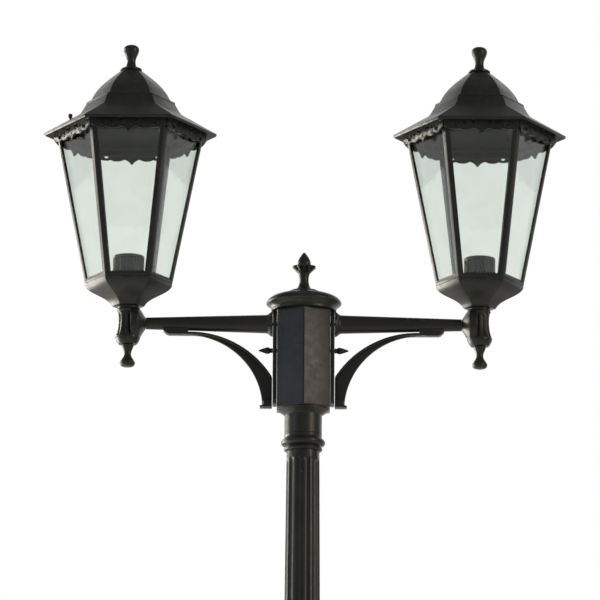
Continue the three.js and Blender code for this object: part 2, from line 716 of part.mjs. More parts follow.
// A quarter-round bracket: a thin web, a flange along its upper edge, a pad and a foot.
function brace() {
  const root = ARM_START + GAP;
  const footBottom = BOX_BOTTOM + 2.6;
  const footTop = footBottom + BRACE_FOOT_HEIGHT;
  const padTop = ARM_LEVEL - ARM_END_RADIUS * 0.8;
  const padBottom = ARM_LEVEL - ARM_ROOT_RADIUS - 0.6 - BRACE_PAD_THICK / 2;
  const upperRoot = new THREE.Vector2(root, footBottom + BRACE_ROOT_HEIGHT);
  const upperEnd = new THREE.Vector2(BRACE_PAD_START, padBottom + 3);
  const upperCentre = circleCentre(upperRoot, upperEnd, BRACE_TOP_SAG);
  const lowerRoot = new THREE.Vector2(root + BRACE_FOOT_LENGTH + 1.6, footTop - 1);
  const lowerEnd = new THREE.Vector2(BRACE_PAD_START, padBottom);
  const lowerCentre = circleCentre(lowerRoot, lowerEnd, BRACE_UNDER_SAG);

  const web = new THREE.Shape();
  web.moveTo(root, footBottom);
  web.lineTo(lowerRoot.x, footBottom);
  arcBetween(web, lowerRoot, lowerEnd, lowerCentre, true);
  web.lineTo(upperEnd.x, upperEnd.y);
  arcBetween(web, upperEnd, upperRoot, upperCentre, false);
  web.closePath();

  const flange = new THREE.Shape();
  const outer = upperRoot.distanceTo(upperCentre);
  const inner = outer - BRACE_FLANGE_THICK;
  const startAngle = Math.atan2(upperRoot.y - upperCentre.y, upperRoot.x - upperCentre.x);
  const endAngle = Math.atan2(upperEnd.y - upperCentre.y, upperEnd.x - upperCentre.x);
  flange.absarc(upperCentre.x, upperCentre.y, outer, startAngle, endAngle, true);
  flange.absarc(upperCentre.x, upperCentre.y, inner, endAngle, startAngle, false);
  flange.closePath();

  const lip = new THREE.Shape();
  lip.moveTo(BRACE_PAD_START - 3, padBottom);
  lip.lineTo(BRACE_PAD_END - 8, padBottom);
  lip.lineTo(BRACE_PAD_END, padBottom + 5);
  lip.lineTo(BRACE_PAD_END, padTop);
  lip.lineTo(BRACE_PAD_START - 3, padTop);
  lip.closePath();

  const foot = block([root, -8, footBottom], [root + BRACE_FOOT_LENGTH, 8, footTop]);
  const spur = block([root, -4, footBottom], [root + BRACE_FOOT_LENGTH + 4.5, 4, footBottom + 2]);
  const behind = block([root - 20, -30, BOX_BOTTOM], [root, 30, BOX_TOP]);
  return carved(
    [
      uprightPlate(web, BRACE_WEB), uprightPlate(flange, BRACE_FLANGE_WIDTH),
      uprightPlate(lip, BRACE_FLANGE_WIDTH), foot, spur,
    ],
    [armBody(GAP), behind],
  );
}

function straightRun(a, b) {
  return new THREE.LineCurve3(new THREE.Vector3(...a), new THREE.Vector3(...b));
}

// A quarter turn of the lead in the X-Z plane, between two angles in degrees.
function leadBend(centreX, centreZ, from, to) {
  const points = [];
  const steps = 6;
  for (let i = 0; i <= steps; i += 1) {
    const angle = radians(from + ((to - from) * i) / steps);
    const [x, z] = [centreX + LEAD_BEND * Math.cos(angle), centreZ + LEAD_BEND * Math.sin(angle)];
    points.push(new THREE.Vector3(x, 0, z));
  }
  return new THREE.CatmullRomCurve3(points);
}

// The last of the lead's route, from inside the arm up to a height in the lantern.
function lanternRun(path, fromX, end) {
  const turnX = LANTERN_REACH - LEAD_BEND;
  path.add(straightRun([fromX, 0, ARM_LEVEL], [turnX, 0, ARM_LEVEL]));
  path.add(leadBend(turnX, ARM_LEVEL + LEAD_BEND, -90, 0));
  path.add(straightRun([LANTERN_REACH, 0, ARM_LEVEL + LEAD_BEND], [LANTERN_REACH, 0, end]));
  return path;
}

// The lead's whole route: up from the terminals, out along the arm and up into the lampholder.
function leadPath(start, end) {
  const path = new THREE.CurvePath();
  path.add(straightRun([LEAD_START, 0, start], [LEAD_START, 0, ARM_LEVEL - LEAD_BEND]));
  path.add(leadBend(LEAD_START + LEAD_BEND, ARM_LEVEL - LEAD_BEND, 180, 90));
  return lanternRun(path, LEAD_START + LEAD_BEND, end);
}

function lead() {
  return hose(leadPath(TERMINAL_TOP - 6 + GAP, LAMPHOLDER_BOTTOM - GAP), LEAD_RADIUS, 40, 6);
}

function addArm(side) {
  const arms = new THREE.Group();
  arms.rotation.z = SIDE_SIGNS[side] < 0 ? Math.PI : 0;
  model.add(arms);
  addPiece(arms, `${side}_arm_plate`, armPlate(), BLACK_PAINT);
  addPiece(arms, `${side}_arm_knob`, armKnob(), BLACK_PAINT);
  addPiece(arms, `${side}_arm`, arm(), BLACK_PAINT);
  addPiece(arms, `${side}_brace`, brace(), BLACK_PAINT);
  addPiece(arms, `${side}_lead`, lead(), LEAD_SHEATH);
}

// ---- Lanterns -----------------------------------------------------------------------------

// A vase shape with a cone on one side that meets the arm, bored for the lead. The boss points
// along -X, towards the pole.
function armSocket() {
  const vase = turned([
    [0, SOCKET_BOTTOM],
    [11.5, SOCKET_BOTTOM],
    [14.2, SOCKET_BOTTOM + 4],
    [16, SOCKET_BOTTOM + 9],
    [14.6, SOCKET_BOTTOM + 13],
    [13, SOCKET_BOTTOM + 20],
    [12, SOCKET_BOTTOM + 29],
    [12.2, SOCKET_BOTTOM + 38],
    [13, SOCKET_TOP - 6],
    [14.3, SOCKET_TOP - 4],
    [13.9, SOCKET_TOP],
    [0, SOCKET_TOP],
  ]);
  const boss = bar([-5, 0, ARM_LEVEL], [-SOCKET_BOSS_REACH, 0, ARM_LEVEL], 21, ARM_END_RADIUS, 16);
  const below = block([-40, -40, SOCKET_BOTTOM - 40], [40, 40, SOCKET_BOTTOM + 6]);
  const above = block([-40, -40, SOCKET_TOP - 2], [40, 40, SOCKET_TOP + 40]);
  const trimmedBoss = carved([boss], [below, above]);
  const route = lanternRun(new THREE.CurvePath(), LANTERN_REACH - SOCKET_BOSS_REACH - 1, SOCKET_TOP + 1);
  const bore = hose(route, LEAD_BORE, 9, 8).translate(-LANTERN_REACH, 0, 0);
  const studHole = bar([0, 0, SOCKET_BOTTOM - 1], [0, 0, SOCKET_BOTTOM + 13.5], STUD_RADIUS + 0.8);
  return carved([vase, trimmedBoss], [bore, studHole]);
}

function dropFinial() {
  const seat = SOCKET_BOTTOM - GAP;
  return turned([
    [0, seat - DROP_LENGTH],
    [6.5, seat - DROP_LENGTH + 0.7],
    [9.8, seat - DROP_LENGTH + 4],
    [9.3, seat - DROP_LENGTH + 6.5],
    [6, seat - DROP_LENGTH + 11],
    [4.5, seat - 12],
    [5, seat - 8],
    [7, seat - 3],
    [7.6, seat],
    [STUD_RADIUS, seat],
    [STUD_RADIUS, seat + 12],
    [0, seat + 12],
  ], 16);
}

function baseBowl() {
  const outside = curvePoints(
    [20.5, BOWL_BOTTOM], [27, BOWL_BOTTOM + 13.4],
    [CAGE_FOOT_CORNER - 5.8, BOWL_BOTTOM + 15.4], [CAGE_FOOT_CORNER, BOWL_TOP], 8,
  );
  return lanternHex([
    [LEAD_BORE, BOWL_BOTTOM],
    ...outside,
    [CAGE_FOOT_CORNER - 4.5, BOWL_TOP],
    [CAGE_FOOT_CORNER - 8, BOWL_TOP - 6],
    [36, BOWL_FLOOR + 2],
    [30, BOWL_FLOOR],
    [LEAD_BORE, BOWL_FLOOR],
  ]);
}

function cageCornerAt(height) {
  const share = (height - CAGE_FOOT) / (CAGE_TOP - CAGE_FOOT);
  return CAGE_FOOT_CORNER + (CAGE_HEAD_CORNER - CAGE_FOOT_CORNER) * share;
}

const CAGE_TILT = Math.atan(((CAGE_HEAD_CORNER - CAGE_FOOT_CORNER) * COS30) / (CAGE_TOP - CAGE_FOOT));

// A funnel-shaped frame: six windows cut through a six-sided shell, with a ledge at the foot.
function cage() {
  const wall = CAGE_WALL / Math.cos(CAGE_TILT) / COS30;
  const ledgeTop = CAGE_FOOT + LEDGE_THICK;
  const shell = lanternHex([
    [CAGE_FOOT_CORNER - wall - PANE_LEDGE, CAGE_FOOT],
    [CAGE_FOOT_CORNER, CAGE_FOOT],
    [CAGE_HEAD_CORNER, CAGE_TOP],
    [CAGE_HEAD_CORNER - wall, CAGE_TOP],
    [cageCornerAt(ledgeTop) - wall, ledgeTop],
    [cageCornerAt(ledgeTop) - wall - PANE_LEDGE, ledgeTop],
  ]);
  const slope = Math.cos(CAGE_TILT);
  const [bottom, top] = [BOTTOM_RAIL, (CAGE_TOP - CAGE_FOOT) / slope - TOP_RAIL];
  const halfAt = (along) => cageCornerAt(CAGE_FOOT + along * slope) / 2 - CORNER_FLANGE;
  const window = trapezoid(halfAt(bottom), halfAt(top), bottom, top);
  const cutter = extruded(window, CAGE_WALL + 4).translate(0, 0, -CAGE_WALL - 2);
  const cuts = SIDE_ANGLES.map((angle) => (
    onSide(cutter, angle, CAGE_TILT, CAGE_FOOT_CORNER * COS30, CAGE_FOOT)
  ));
  return carved([shell], cuts);
}

// One pane, behind its window and standing on the cage's ledge.
function pane(angle) {
  const inset = (CAGE_WALL + GAP + PANE_THICK) / Math.cos(CAGE_TILT);
  const slope = Math.cos(CAGE_TILT);
  const bottom = LEDGE_THICK / slope + GAP * 3;
  const top = (CAGE_TOP - CAGE_FOOT - PANE_HEAD_DROP) / slope;
  const halfAt = (along) => {
    const apothem = cageCornerAt(CAGE_FOOT + along * slope) * COS30 - inset;
    return apothem * TAN30 - PANE_EDGE_GAP;
  };
  const plate = extruded(trapezoid(halfAt(bottom), halfAt(top), bottom, top), PANE_THICK);
  plate.translate(0, 0, -CAGE_WALL - GAP - PANE_THICK);
  return onSide(plate, angle, CAGE_TILT, CAGE_FOOT_CORNER * COS30, CAGE_FOOT);
}

// A six-sided skirt whose lower edge has two scallops and a middle drop on every side.
function valance() {
  const inner = cageCornerAt(VALANCE_TOP) + VALANCE_CLEARANCE;
  const outer = inner + VALANCE_WALL / COS30;
  const lowest = VALANCE_TOP - VALANCE_CORNER_DROP - VALANCE_PENDANT;
  const ring = lanternHex([[inner, lowest], [outer, lowest], [outer, VALANCE_TOP], [inner, VALANCE_TOP]]);
  const corner = -VALANCE_CORNER_DROP;
  const half = outer / 2;
  const drop = VALANCE_PENDANT_WIDTH / 2;
  const below = corner - VALANCE_PENDANT - 3;
  const cutter = new THREE.Shape();
  cutter.moveTo(-half - 1, below);
  cutter.lineTo(half + 1, below);
  cutter.lineTo(half + 1, corner);
  cutter.lineTo(half - 2, corner);
  cutter.quadraticCurveTo((half + drop) / 2, corner - VALANCE_SCALLOP * 2, drop, corner);
  cutter.quadraticCurveTo(drop * 0.7, corner - VALANCE_PENDANT, 0, corner - VALANCE_PENDANT);
  cutter.quadraticCurveTo(-drop * 0.7, corner - VALANCE_PENDANT, -drop, corner);
  cutter.quadraticCurveTo(-(half + drop) / 2, corner - VALANCE_SCALLOP * 2, -half + 2, corner);
  cutter.lineTo(-half - 1, corner);
  cutter.closePath();
  const depth = VALANCE_WALL + 4;
  const prism = extruded(cutter, depth, 4).translate(0, 0, -depth / 2);
  const middle = inner * COS30 + VALANCE_WALL / 2;
  return carved([ring], SIDE_ANGLES.map((angle) => onSide(prism, angle, 0, middle, VALANCE_TOP)));
}

function lampholderCup() {
  return turned([
    [LEAD_BORE, CUP_BOTTOM],
    [CUP_RADIUS, CUP_BOTTOM],
    [CUP_RADIUS, CUP_TOP],
    [CUP_RADIUS - CUP_WALL, CUP_TOP],
    [CUP_RADIUS - CUP_WALL, CUP_BOTTOM + CUP_WALL],
    [LEAD_BORE, CUP_BOTTOM + CUP_WALL],
  ]);
}

function lampholder() {
  return turned([
    [0, LAMPHOLDER_BOTTOM],
    [LAMPHOLDER_RADIUS, LAMPHOLDER_BOTTOM],
    [LAMPHOLDER_RADIUS, LAMPHOLDER_TOP],
    [LAMPHOLDER_MOUTH, LAMPHOLDER_TOP],
    [LAMPHOLDER_MOUTH, LAMPHOLDER_TOP - LAMPHOLDER_DEPTH],
    [0, LAMPHOLDER_TOP - LAMPHOLDER_DEPTH],
  ]);
}

// Height of the eave's underside at a distance from the lantern axis, measured to a corner.
function eaveUndersideAt(corner) {
  return EAVE_TIP + (EAVE_CORNER - corner) * EAVE_SLOPE - ROOF_WALL * 1.5;
}

// A six-sided dome on a stepped collar, sweeping out into a wide eave.
function roof() {
  const dome = curvePoints(
    [LEDGE_CORNER, LEDGE_LEVEL], [LEDGE_CORNER - 6, LEDGE_LEVEL + 17],
    [30, ROOF_TOP - 12], [14, ROOF_TOP], 8,
  );
  const wall = ROOF_WALL / COS30;
  const studHole = (STUD_RADIUS + GAP) / COS30;
  const inside = [
    [14, ROOF_TOP - wall],
    ...dome.slice(0, -1).reverse().map(([corner, height]) => [corner - wall, height - 1.5]),
    [COLLAR_CORNER - wall, LEDGE_LEVEL - 4],
    [FLARE_CORNER - 2, eaveUndersideAt(FLARE_CORNER - 2)],
    [EAVE_CORNER - 3.4, eaveUndersideAt(EAVE_CORNER - 3.4)],
  ];
  return lanternHex([
    [EAVE_CORNER - 1, EAVE_TIP - 3.6],
    [EAVE_CORNER, EAVE_TIP],
    [FLARE_CORNER, FLARE_LEVEL],
    [COLLAR_CORNER + 2.9, FLARE_LEVEL + 8.6],
    [COLLAR_CORNER, LEDGE_LEVEL - 3.7],
    [COLLAR_CORNER, LEDGE_LEVEL - 1.1],
    ...dome,
    [studHole, ROOF_TOP],
    [studHole, ROOF_TOP - wall],
    ...inside,
  ]);
}

function roofFinial() {
  const seat = ROOF_TOP + GAP;
  return turned([
    [0, seat - 8],
    [STUD_RADIUS, seat - 8],
    [STUD_RADIUS, seat],
    [13.9, seat],
    [13.2, seat + 3],
    [7, seat + 5.5],
    [5.4, seat + 9],
    [5.3, seat + 14],
    [6.4, LAMP_TOP - 14],
    [9.6, LAMP_TOP - 8],
    [10, LAMP_TOP - 5.5],
    [8, LAMP_TOP - 2.2],
    [4, LAMP_TOP - 0.4],
    [0, LAMP_TOP],
  ], 16);
}

// A thumb screw that stands in the eave, near one corner.
function roofScrew() {
  const surface = ROOF_SCREW_SURFACE;
  return turned([
    [0, surface - 9],
    [ROOF_SCREW_SHANK, surface - 9],
    [ROOF_SCREW_SHANK, surface + 0.4],
    [ROOF_SCREW_RADIUS, surface + 1.4],
    [ROOF_SCREW_RADIUS + 0.5, surface + 6],
    [ROOF_SCREW_RADIUS, surface + 9],
    [0, surface + 9.6],
  ], 12);
}

// Where the screw stands, and the hole that the eave has for it.
function screwedRoof(screwAngle) {
  const [x, y] = [Math.cos(screwAngle), Math.sin(screwAngle)].map((part) => part * ROOF_SCREW_CORNER);
  const surface = ROOF_SCREW_SURFACE;
  const holeRadius = ROOF_SCREW_SHANK + GAP;
  const hole = bar([x, y, surface - 14], [x, y, surface + 12], holeRadius, holeRadius, 10);
  const seat = bar([x, y, surface - 0.6], [x, y, surface + 12], ROOF_SCREW_RADIUS + 0.8);
  return {
    roof: carved([roof()], [hole, seat]),
    screw: roofScrew().translate(x, y, 0),
  };
}

const SCREW_ANGLES = { left: radians(180), right: radians(60) };

function addLantern(side) {
  const sign = SIDE_SIGNS[side];
  const lantern = new THREE.Group();
  lantern.position.x = sign * LANTERN_REACH;
  model.add(lantern);
  const { roof: canopy, screw } = screwedRoof(SCREW_ANGLES[side]);
  addPiece(lantern, `${side}_roof`, canopy, BLACK_PAINT);
  addPiece(lantern, `${side}_roof_finial`, roofFinial(), BLACK_PAINT);
  addPiece(lantern, `${side}_roof_screw`, screw, BLACK_PAINT);
  addPiece(lantern, `${side}_valance`, valance(), BLACK_PAINT);
  addPiece(lantern, `${side}_cage`, cage(), BLACK_PAINT);
  SIDE_ANGLES.forEach((angle, i) => {
    addPiece(lantern, `${side}_pane_${i + 1}`, pane(angle), GLASS);
  });
  addPiece(lantern, `${side}_lampholder_cup`, lampholderCup(), BLACK_PAINT);
  addPiece(lantern, `${side}_lampholder`, lampholder(), CERAMIC);
  addPiece(lantern, `${side}_base_bowl`, baseBowl(), BLACK_PAINT);
  const socket = addPiece(lantern, `${side}_arm_socket`, armSocket(), BLACK_PAINT);
  socket.rotation.z = sign < 0 ? Math.PI : 0;
  addPiece(lantern, `${side}_drop_finial`, dropFinial(), BLACK_PAINT);
}

addPost();
addHead();
for (const side of Object.keys(SIDE_SIGNS)) {
  addArm(side);
  addLantern(side);
}

export default model;
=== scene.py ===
# A street lamp post with two six-sided lanterns: cast and turned pieces in black enamel,
# clear glass, a porcelain lampholder and zinc-plated fixings, modelled in metres.
import json
import math
import bmesh
import bpy
from mathutils import Matrix, Vector

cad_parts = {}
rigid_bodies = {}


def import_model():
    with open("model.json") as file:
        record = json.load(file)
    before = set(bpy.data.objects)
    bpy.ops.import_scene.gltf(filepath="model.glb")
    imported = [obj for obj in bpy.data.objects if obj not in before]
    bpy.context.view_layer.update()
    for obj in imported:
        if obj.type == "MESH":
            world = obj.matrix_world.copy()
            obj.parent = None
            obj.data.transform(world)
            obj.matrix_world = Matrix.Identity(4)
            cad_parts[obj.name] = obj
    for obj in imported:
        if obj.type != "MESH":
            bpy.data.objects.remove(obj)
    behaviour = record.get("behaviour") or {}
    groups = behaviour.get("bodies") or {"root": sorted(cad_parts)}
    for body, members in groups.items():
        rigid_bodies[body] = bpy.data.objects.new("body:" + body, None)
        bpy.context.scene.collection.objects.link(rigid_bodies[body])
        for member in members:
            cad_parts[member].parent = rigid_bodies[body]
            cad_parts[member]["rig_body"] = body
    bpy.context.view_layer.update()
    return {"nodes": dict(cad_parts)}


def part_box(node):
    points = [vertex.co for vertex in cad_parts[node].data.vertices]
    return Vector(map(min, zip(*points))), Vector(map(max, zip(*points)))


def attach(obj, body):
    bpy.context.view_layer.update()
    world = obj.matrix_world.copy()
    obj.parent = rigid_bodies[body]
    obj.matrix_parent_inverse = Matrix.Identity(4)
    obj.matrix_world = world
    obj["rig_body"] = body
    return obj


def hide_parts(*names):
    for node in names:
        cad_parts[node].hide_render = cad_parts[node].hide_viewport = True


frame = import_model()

MM = 0.001
SIDES = ("left", "right")
COS30 = math.cos(math.radians(30))
LARGE_ROUND = 96  # sides of the turned pieces at the foot
ROUND = 64  # sides of a large turned piece
SMALL_ROUND = 40  # sides of a small one


# ---- Measures, in millimetres -----------------------------------------------------------------

def low(node):
    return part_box(node)[0] / MM


def high(node):
    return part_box(node)[1] / MM


def middle(node):
    return (low(node) + high(node)) / 2


def measure(node):
    """A node's lowest level, its height and half its width along X."""
    lowest, highest = low(node), high(node)
    return lowest.z, highest.z - lowest.z, (highest.x - lowest.x) / 2


# ---- Working with the model -------------------------------------------------------------------

def pick_only(*pieces):
    """Leaves just these pieces selected, the first of them active."""
    for item in bpy.context.selected_objects:
        item.select_set(False)
    for piece in pieces:
        piece.select_set(True)
    if pieces:
        bpy.context.view_layer.objects.active = pieces[0]


def edit(piece):
    pick_only(piece)
    bpy.ops.object.mode_set(mode="EDIT")
    bpy.ops.mesh.select_all(action="SELECT")


def leave_edit():
    bpy.ops.object.mode_set(mode="OBJECT")


def face_outwards():
    """In edit mode, turns every face outwards."""
    bpy.ops.mesh.select_all(action="SELECT")
    bpy.ops.mesh.normals_make_consistent(inside=False)


def start_drawing(name):
    """Puts the new primitive's place and turn into its mesh and opens it to draw from."""
    piece = bpy.context.object
    piece.name = name
    pick_only(piece)
    bpy.ops.object.transform_apply(location=True, rotation=True, scale=True)
    edit(piece)
    bpy.context.tool_settings.mesh_select_mode = (True, False, False)
    return piece


def select_where(piece, faces=None, points=None):
    """In edit mode, selects what a test on each face or point picks out."""
    bpy.ops.mesh.select_all(action="DESELECT")
    bpy.context.tool_settings.mesh_select_mode = (bool(points), False, bool(faces))
    mesh = bmesh.from_edit_mesh(piece.data)
    for item in mesh.faces if faces else mesh.verts:
        item.select_set(bool((faces or points)(item)))
    mesh.select_flush_mode()
    bmesh.update_edit_mesh(piece.data)


def modifier(piece, kind, **settings):
    """Adds a modifier, sets it and applies it."""
    pick_only(piece)
    added = piece.modifiers.new(kind.title(), kind)
    for name, value in settings.items():
        setattr(added, name, value)
    bpy.ops.object.modifier_apply(modifier=added.name)


def round_edges(piece, width, segments=2, angle=28):
    modifier(
        piece, "BEVEL", width=width * MM, segments=segments, limit_method="ANGLE",
        angle_limit=math.radians(angle), miter_outer="MITER_ARC",
    )


def smooth(piece, angle):
    pick_only(piece)
    bpy.ops.object.shade_smooth_by_angle(angle=math.radians(angle))


def copy_of(piece, name, matrix):
    """A copy with its own mesh, moved in its mesh."""
    twin = piece.copy()
    twin.data = piece.data.copy()
    twin.name = name
    bpy.context.scene.collection.objects.link(twin)
    twin.data.transform(matrix)
    return twin


def joined(name, pieces):
    pick_only(*pieces)
    bpy.ops.object.join()
    pieces[0].name = name
    return pieces[0]


def cut_with(piece, cutter, operation="DIFFERENCE"):
    """A boolean with another piece, which is used up."""
    modifier(piece, "BOOLEAN", operation=operation, object=cutter, solver="EXACT")
    bpy.data.objects.remove(cutter)


def drill(piece, place, radius, depth, turn=(0, 0, 0), sides=24):
    """Bores a round hole about a place, along Z unless it is turned."""
    pick_only()
    bpy.ops.mesh.primitive_cylinder_add(
        vertices=sides, radius=radius * MM, depth=depth * MM, rotation=turn,
        location=[value * MM for value in place],
    )
    cut_with(piece, bpy.context.object)


def scale_turns(piece, sides, period, offsets, ratio, levels, beyond):
    """On a turned piece, scales the points at some places of a pattern that repeats round the
    axis, between two levels and beyond a radius."""
    step = 2 * math.pi / sides

    def chosen(point):
        x, y, z = (value / MM for value in point.co)
        place = round(math.atan2(y, x) / step) % period
        return place in offsets and math.hypot(x, y) > beyond and levels[0] < z < levels[1]

    edit(piece)
    select_where(piece, points=chosen)
    bpy.ops.transform.resize(value=(ratio, ratio, 1), center_override=(0, 0, 0))
    leave_edit()


# ---- Profiles: [distance from the axis, height] -----------------------------------------------

def arc(centre, radius, start, end, steps):
    """Points on an arc, with angles in degrees from straight out."""
    points = []
    for i in range(steps + 1):
        angle = math.radians(start + (end - start) * i / steps)
        points.append((centre[0] + radius * math.cos(angle), centre[1] + radius * math.sin(angle)))
    return points


def sweep(a, b, c, d, steps):
    """Points on a cubic curve that leaves a towards b and reaches d from c."""
    points = []
    for i in range(steps + 1):
        t = i / steps
        weights = ((1 - t) ** 3, 3 * t * (1 - t) ** 2, 3 * t * t * (1 - t), t ** 3)
        points.append(tuple(sum(w * p[k] for w, p in zip(weights, (a, b, c, d))) for k in (0, 1)))
    return points


def through(points, steps=4):
    """A smooth line through a few points."""
    path = []
    count = len(points)
    for i in range(count - 1):
        before, here, there, after = (points[max(0, min(count - 1, i + k))] for k in (-1, 0, 1, 2))
        leave = tuple(here[k] + (there[k] - before[k]) / 6 for k in (0, 1))
        arrive = tuple(there[k] - (after[k] - here[k]) / 6 for k in (0, 1))
        path += sweep(here, leave, arrive, there, steps)[:-1]
    return path + [points[-1]]


def bow(a, b, radius, inset=0.0):
    """Points from a to b on an arc whose centre is on the right, or on one nearer that centre."""
    chord = Vector(b) - Vector(a)
    right = Vector((chord.y, -chord.x)).normalized()
    centre = (Vector(a) + Vector(b)) / 2 + right * math.sqrt(radius ** 2 - chord.length_squared / 4)
    start, end = (math.degrees(math.atan2(z - centre.y, x - centre.x)) for x, z in (a, b))
    return arc(centre, radius - inset, start, end, 22)


def turned(name, profile, sides=ROUND, level=0.0, corner=0, hollow=False, point=False):
    """Drawn ring by ring from a circle: each ring is extruded up and scaled to the profile.

    Heights count from the level. A hollow piece closes on its first ring, point gathers the last
    ring into a tip, and any other end is filled. corner is where the first corner stands, in
    degrees from +X.
    """
    rings = [(radius, level + height) for radius, height in profile]
    if hollow:
        rings.append(rings[0])
    pick_only()
    bpy.ops.mesh.primitive_circle_add(
        vertices=sides, radius=rings[0][0] * MM, location=(0, 0, rings[0][1] * MM),
        rotation=(0, 0, math.radians(corner - 90)), fill_type="NOTHING",
    )
    piece = start_drawing(name)
    for (radius, height), (next_radius, next_height) in zip(rings, rings[1:]):
        rise = (0, 0, (next_height - height) * MM)
        bpy.ops.mesh.extrude_region_move(TRANSFORM_OT_translate={"value": rise})
        ratio = next_radius / radius
        if abs(ratio - 1) > 1e-6:
            bpy.ops.transform.resize(value=(ratio, ratio, 1), center_override=(0, 0, next_height * MM))
    if point:
        bpy.ops.mesh.merge(type="CENTER")
    bpy.ops.mesh.select_all(action="SELECT")
    bpy.ops.mesh.remove_doubles(threshold=0.0005 * MM)
    if not hollow:
        bpy.ops.mesh.select_all(action="DESELECT")
        bpy.ops.mesh.select_non_manifold()
        bpy.ops.mesh.fill_holes(sides=0)
    face_outwards()
    leave_edit()
    return piece


def outlined(name, outline, thickness, level=0.0):
    """A plate in the X-Z plane, centred on Y = 0: its outline, with heights from the level, is
    drawn point by point, filled and extruded."""
    pick_only()
    x, z = outline[0]
    place = (x * MM, -thickness / 2 * MM, (level + z) * MM)
    bpy.ops.mesh.primitive_circle_add(vertices=3, radius=MM, location=place)
    piece = start_drawing(name)
    bpy.ops.mesh.merge(type="CENTER")
    for (x0, z0), (x1, z1) in zip(outline, outline[1:]):
        step = ((x1 - x0) * MM, 0, (z1 - z0) * MM)
        bpy.ops.mesh.extrude_region_move(TRANSFORM_OT_translate={"value": step})
    bpy.ops.mesh.select_all(action="SELECT")
    bpy.ops.mesh.edge_face_add()
    bpy.ops.mesh.extrude_region_move(TRANSFORM_OT_translate={"value": (0, thickness * MM, 0)})
    face_outwards()
    leave_edit()
    return piece


def wire(name, points, thick, front, resolution):
    """A round wire in the plane Y = front. A point is (x, z, share of the thickness)."""
    data = bpy.data.curves.new(name, "CURVE")
    data.dimensions = "3D"
    data.bevel_depth = thick * MM
    data.bevel_resolution = resolution
    spline = data.splines.new("POLY")
    spline.points.add(len(points) - 1)
    for target, (x, z, share) in zip(spline.points, points):
        target.co = (x * MM, front * MM, z * MM, 1)
        target.radius = share
    made = bpy.data.objects.new(name, data)
    bpy.context.scene.collection.objects.link(made)
    pick_only(made)
    bpy.ops.object.convert(target="MESH")
    return made


# ---- Materials --------------------------------------------------------------------------------

def linear(code):
    """An sRGB hex colour as linear red, green, blue and alpha."""
    parts = [int(code[i:i + 2], 16) / 255 for i in (1, 3, 5)]
    return [c / 12.92 if c <= 0.04045 else ((c + 0.055) / 1.055) ** 2.4 for c in parts] + [1.0]


def per_mm(size):
    """Texture scale that repeats about every so many millimetres, on metre coordinates."""
    return 1.0 / (size * MM)


def add_node(tree, kind, inputs=(), **settings):
    """Adds a node with its settings. Its inputs, by name or in order, are each a value, a hex
    colour, an output, or a node, which stands for the first of its outputs."""
    node = tree.nodes.new(f"ShaderNode{kind}")
    for name, value in settings.items():
        setattr(node, name, value)
    if isinstance(inputs, dict):
        pairs = [(node.inputs[name], value) for name, value in inputs.items()]
    else:
        pairs = list(zip([socket for socket in node.inputs if socket.enabled], inputs))
    for socket, value in pairs:
        if isinstance(value, bpy.types.Node):
            value = next(output for output in value.outputs if output.enabled)
        if isinstance(value, bpy.types.NodeSocket):
            tree.links.new(value, socket)
        else:
            socket.default_value = linear(value) if isinstance(value, str) else value
    return node


def new_material(name):
    """A material, its empty tree and the object's own coordinates in it."""
    material = bpy.data.materials.new(name)
    material.use_nodes = True
    material.node_tree.nodes.clear()
    return material, material.node_tree, add_node(material.node_tree, "TexCoord").outputs["Object"]


def shaded(material, tones, roughness, relief=None, under=None, **inputs):
    """The material, closed with a shader. Tones are a factor and two colours, roughness is a
    value, its range and the range that becomes, and relief is a height, its depth in millimetres
    and its strength, over another relief if one is under it."""
    tree = material.node_tree
    inputs["Base Color"] = add_node(tree, "Mix", tones, data_type="RGBA")
    inputs["Roughness"] = add_node(tree, "MapRange", roughness)
    if relief:
        height, depth, strength = relief
        bump = {"Height": height, "Distance": depth * MM, "Strength": strength}
        inputs["Normal"] = add_node(tree, "Bump", bump | ({"Normal": under} if under else {}))
    add_node(tree, "OutputMaterial", [add_node(tree, "BsdfPrincipled", inputs)])
    return material


def black_enamel(name, base, worn, grain, grain_depth, gloss):
    """Black powder coat baked over sand-cast aluminium: a near-black with a faint green-brown
    cast, the casting's grain under the film, dust on upward faces and paint thinned at edges."""
    material, tree, place = new_material(name)
    clouds = add_node(tree, "TexNoise", [place, per_mm(60), 4.0])
    mottle = add_node(tree, "TexNoise", [place, per_mm(9), 5.0, 0.6])
    grit = add_node(tree, "TexNoise", [place, per_mm(grain), 2.0, 0.6])
    tone = add_node(tree, "MapRange", [clouds, 0.35, 0.65, 0.0, 1.0])
    paint = add_node(tree, "Mix", [tone, base, worn], data_type="RGBA")
    facing = add_node(tree, "SeparateXYZ", [place.node.outputs["Normal"]])
    upward = add_node(tree, "MapRange", [facing.outputs["Z"], 0.25, 1.0, 0.0, 0.3])
    patches = add_node(tree, "MapRange", [mottle, 0.42, 0.7, 0.0, 1.0])
    dust = add_node(tree, "Math", [upward, patches], operation="MULTIPLY")
    dusty = add_node(tree, "Mix", [dust, paint, "#6f6c62"], data_type="RGBA")
    shape = add_node(tree, "NewGeometry")
    edge = add_node(tree, "MapRange", [shape.outputs["Pointiness"], 0.54, 0.62, 0.0, 0.35])
    rubbed = add_node(tree, "Math", [edge, patches], operation="MULTIPLY")
    film = add_node(tree, "Bump", {"Height": mottle, "Distance": 0.22 * MM, "Strength": 0.35})
    rough = [mottle, 0.3, 0.7, gloss - 0.05, gloss + 0.09]
    return shaded(material, [rubbed, dusty, "#5c5d58"], rough, (grit, grain_depth, 0.6), film, IOR=1.5)


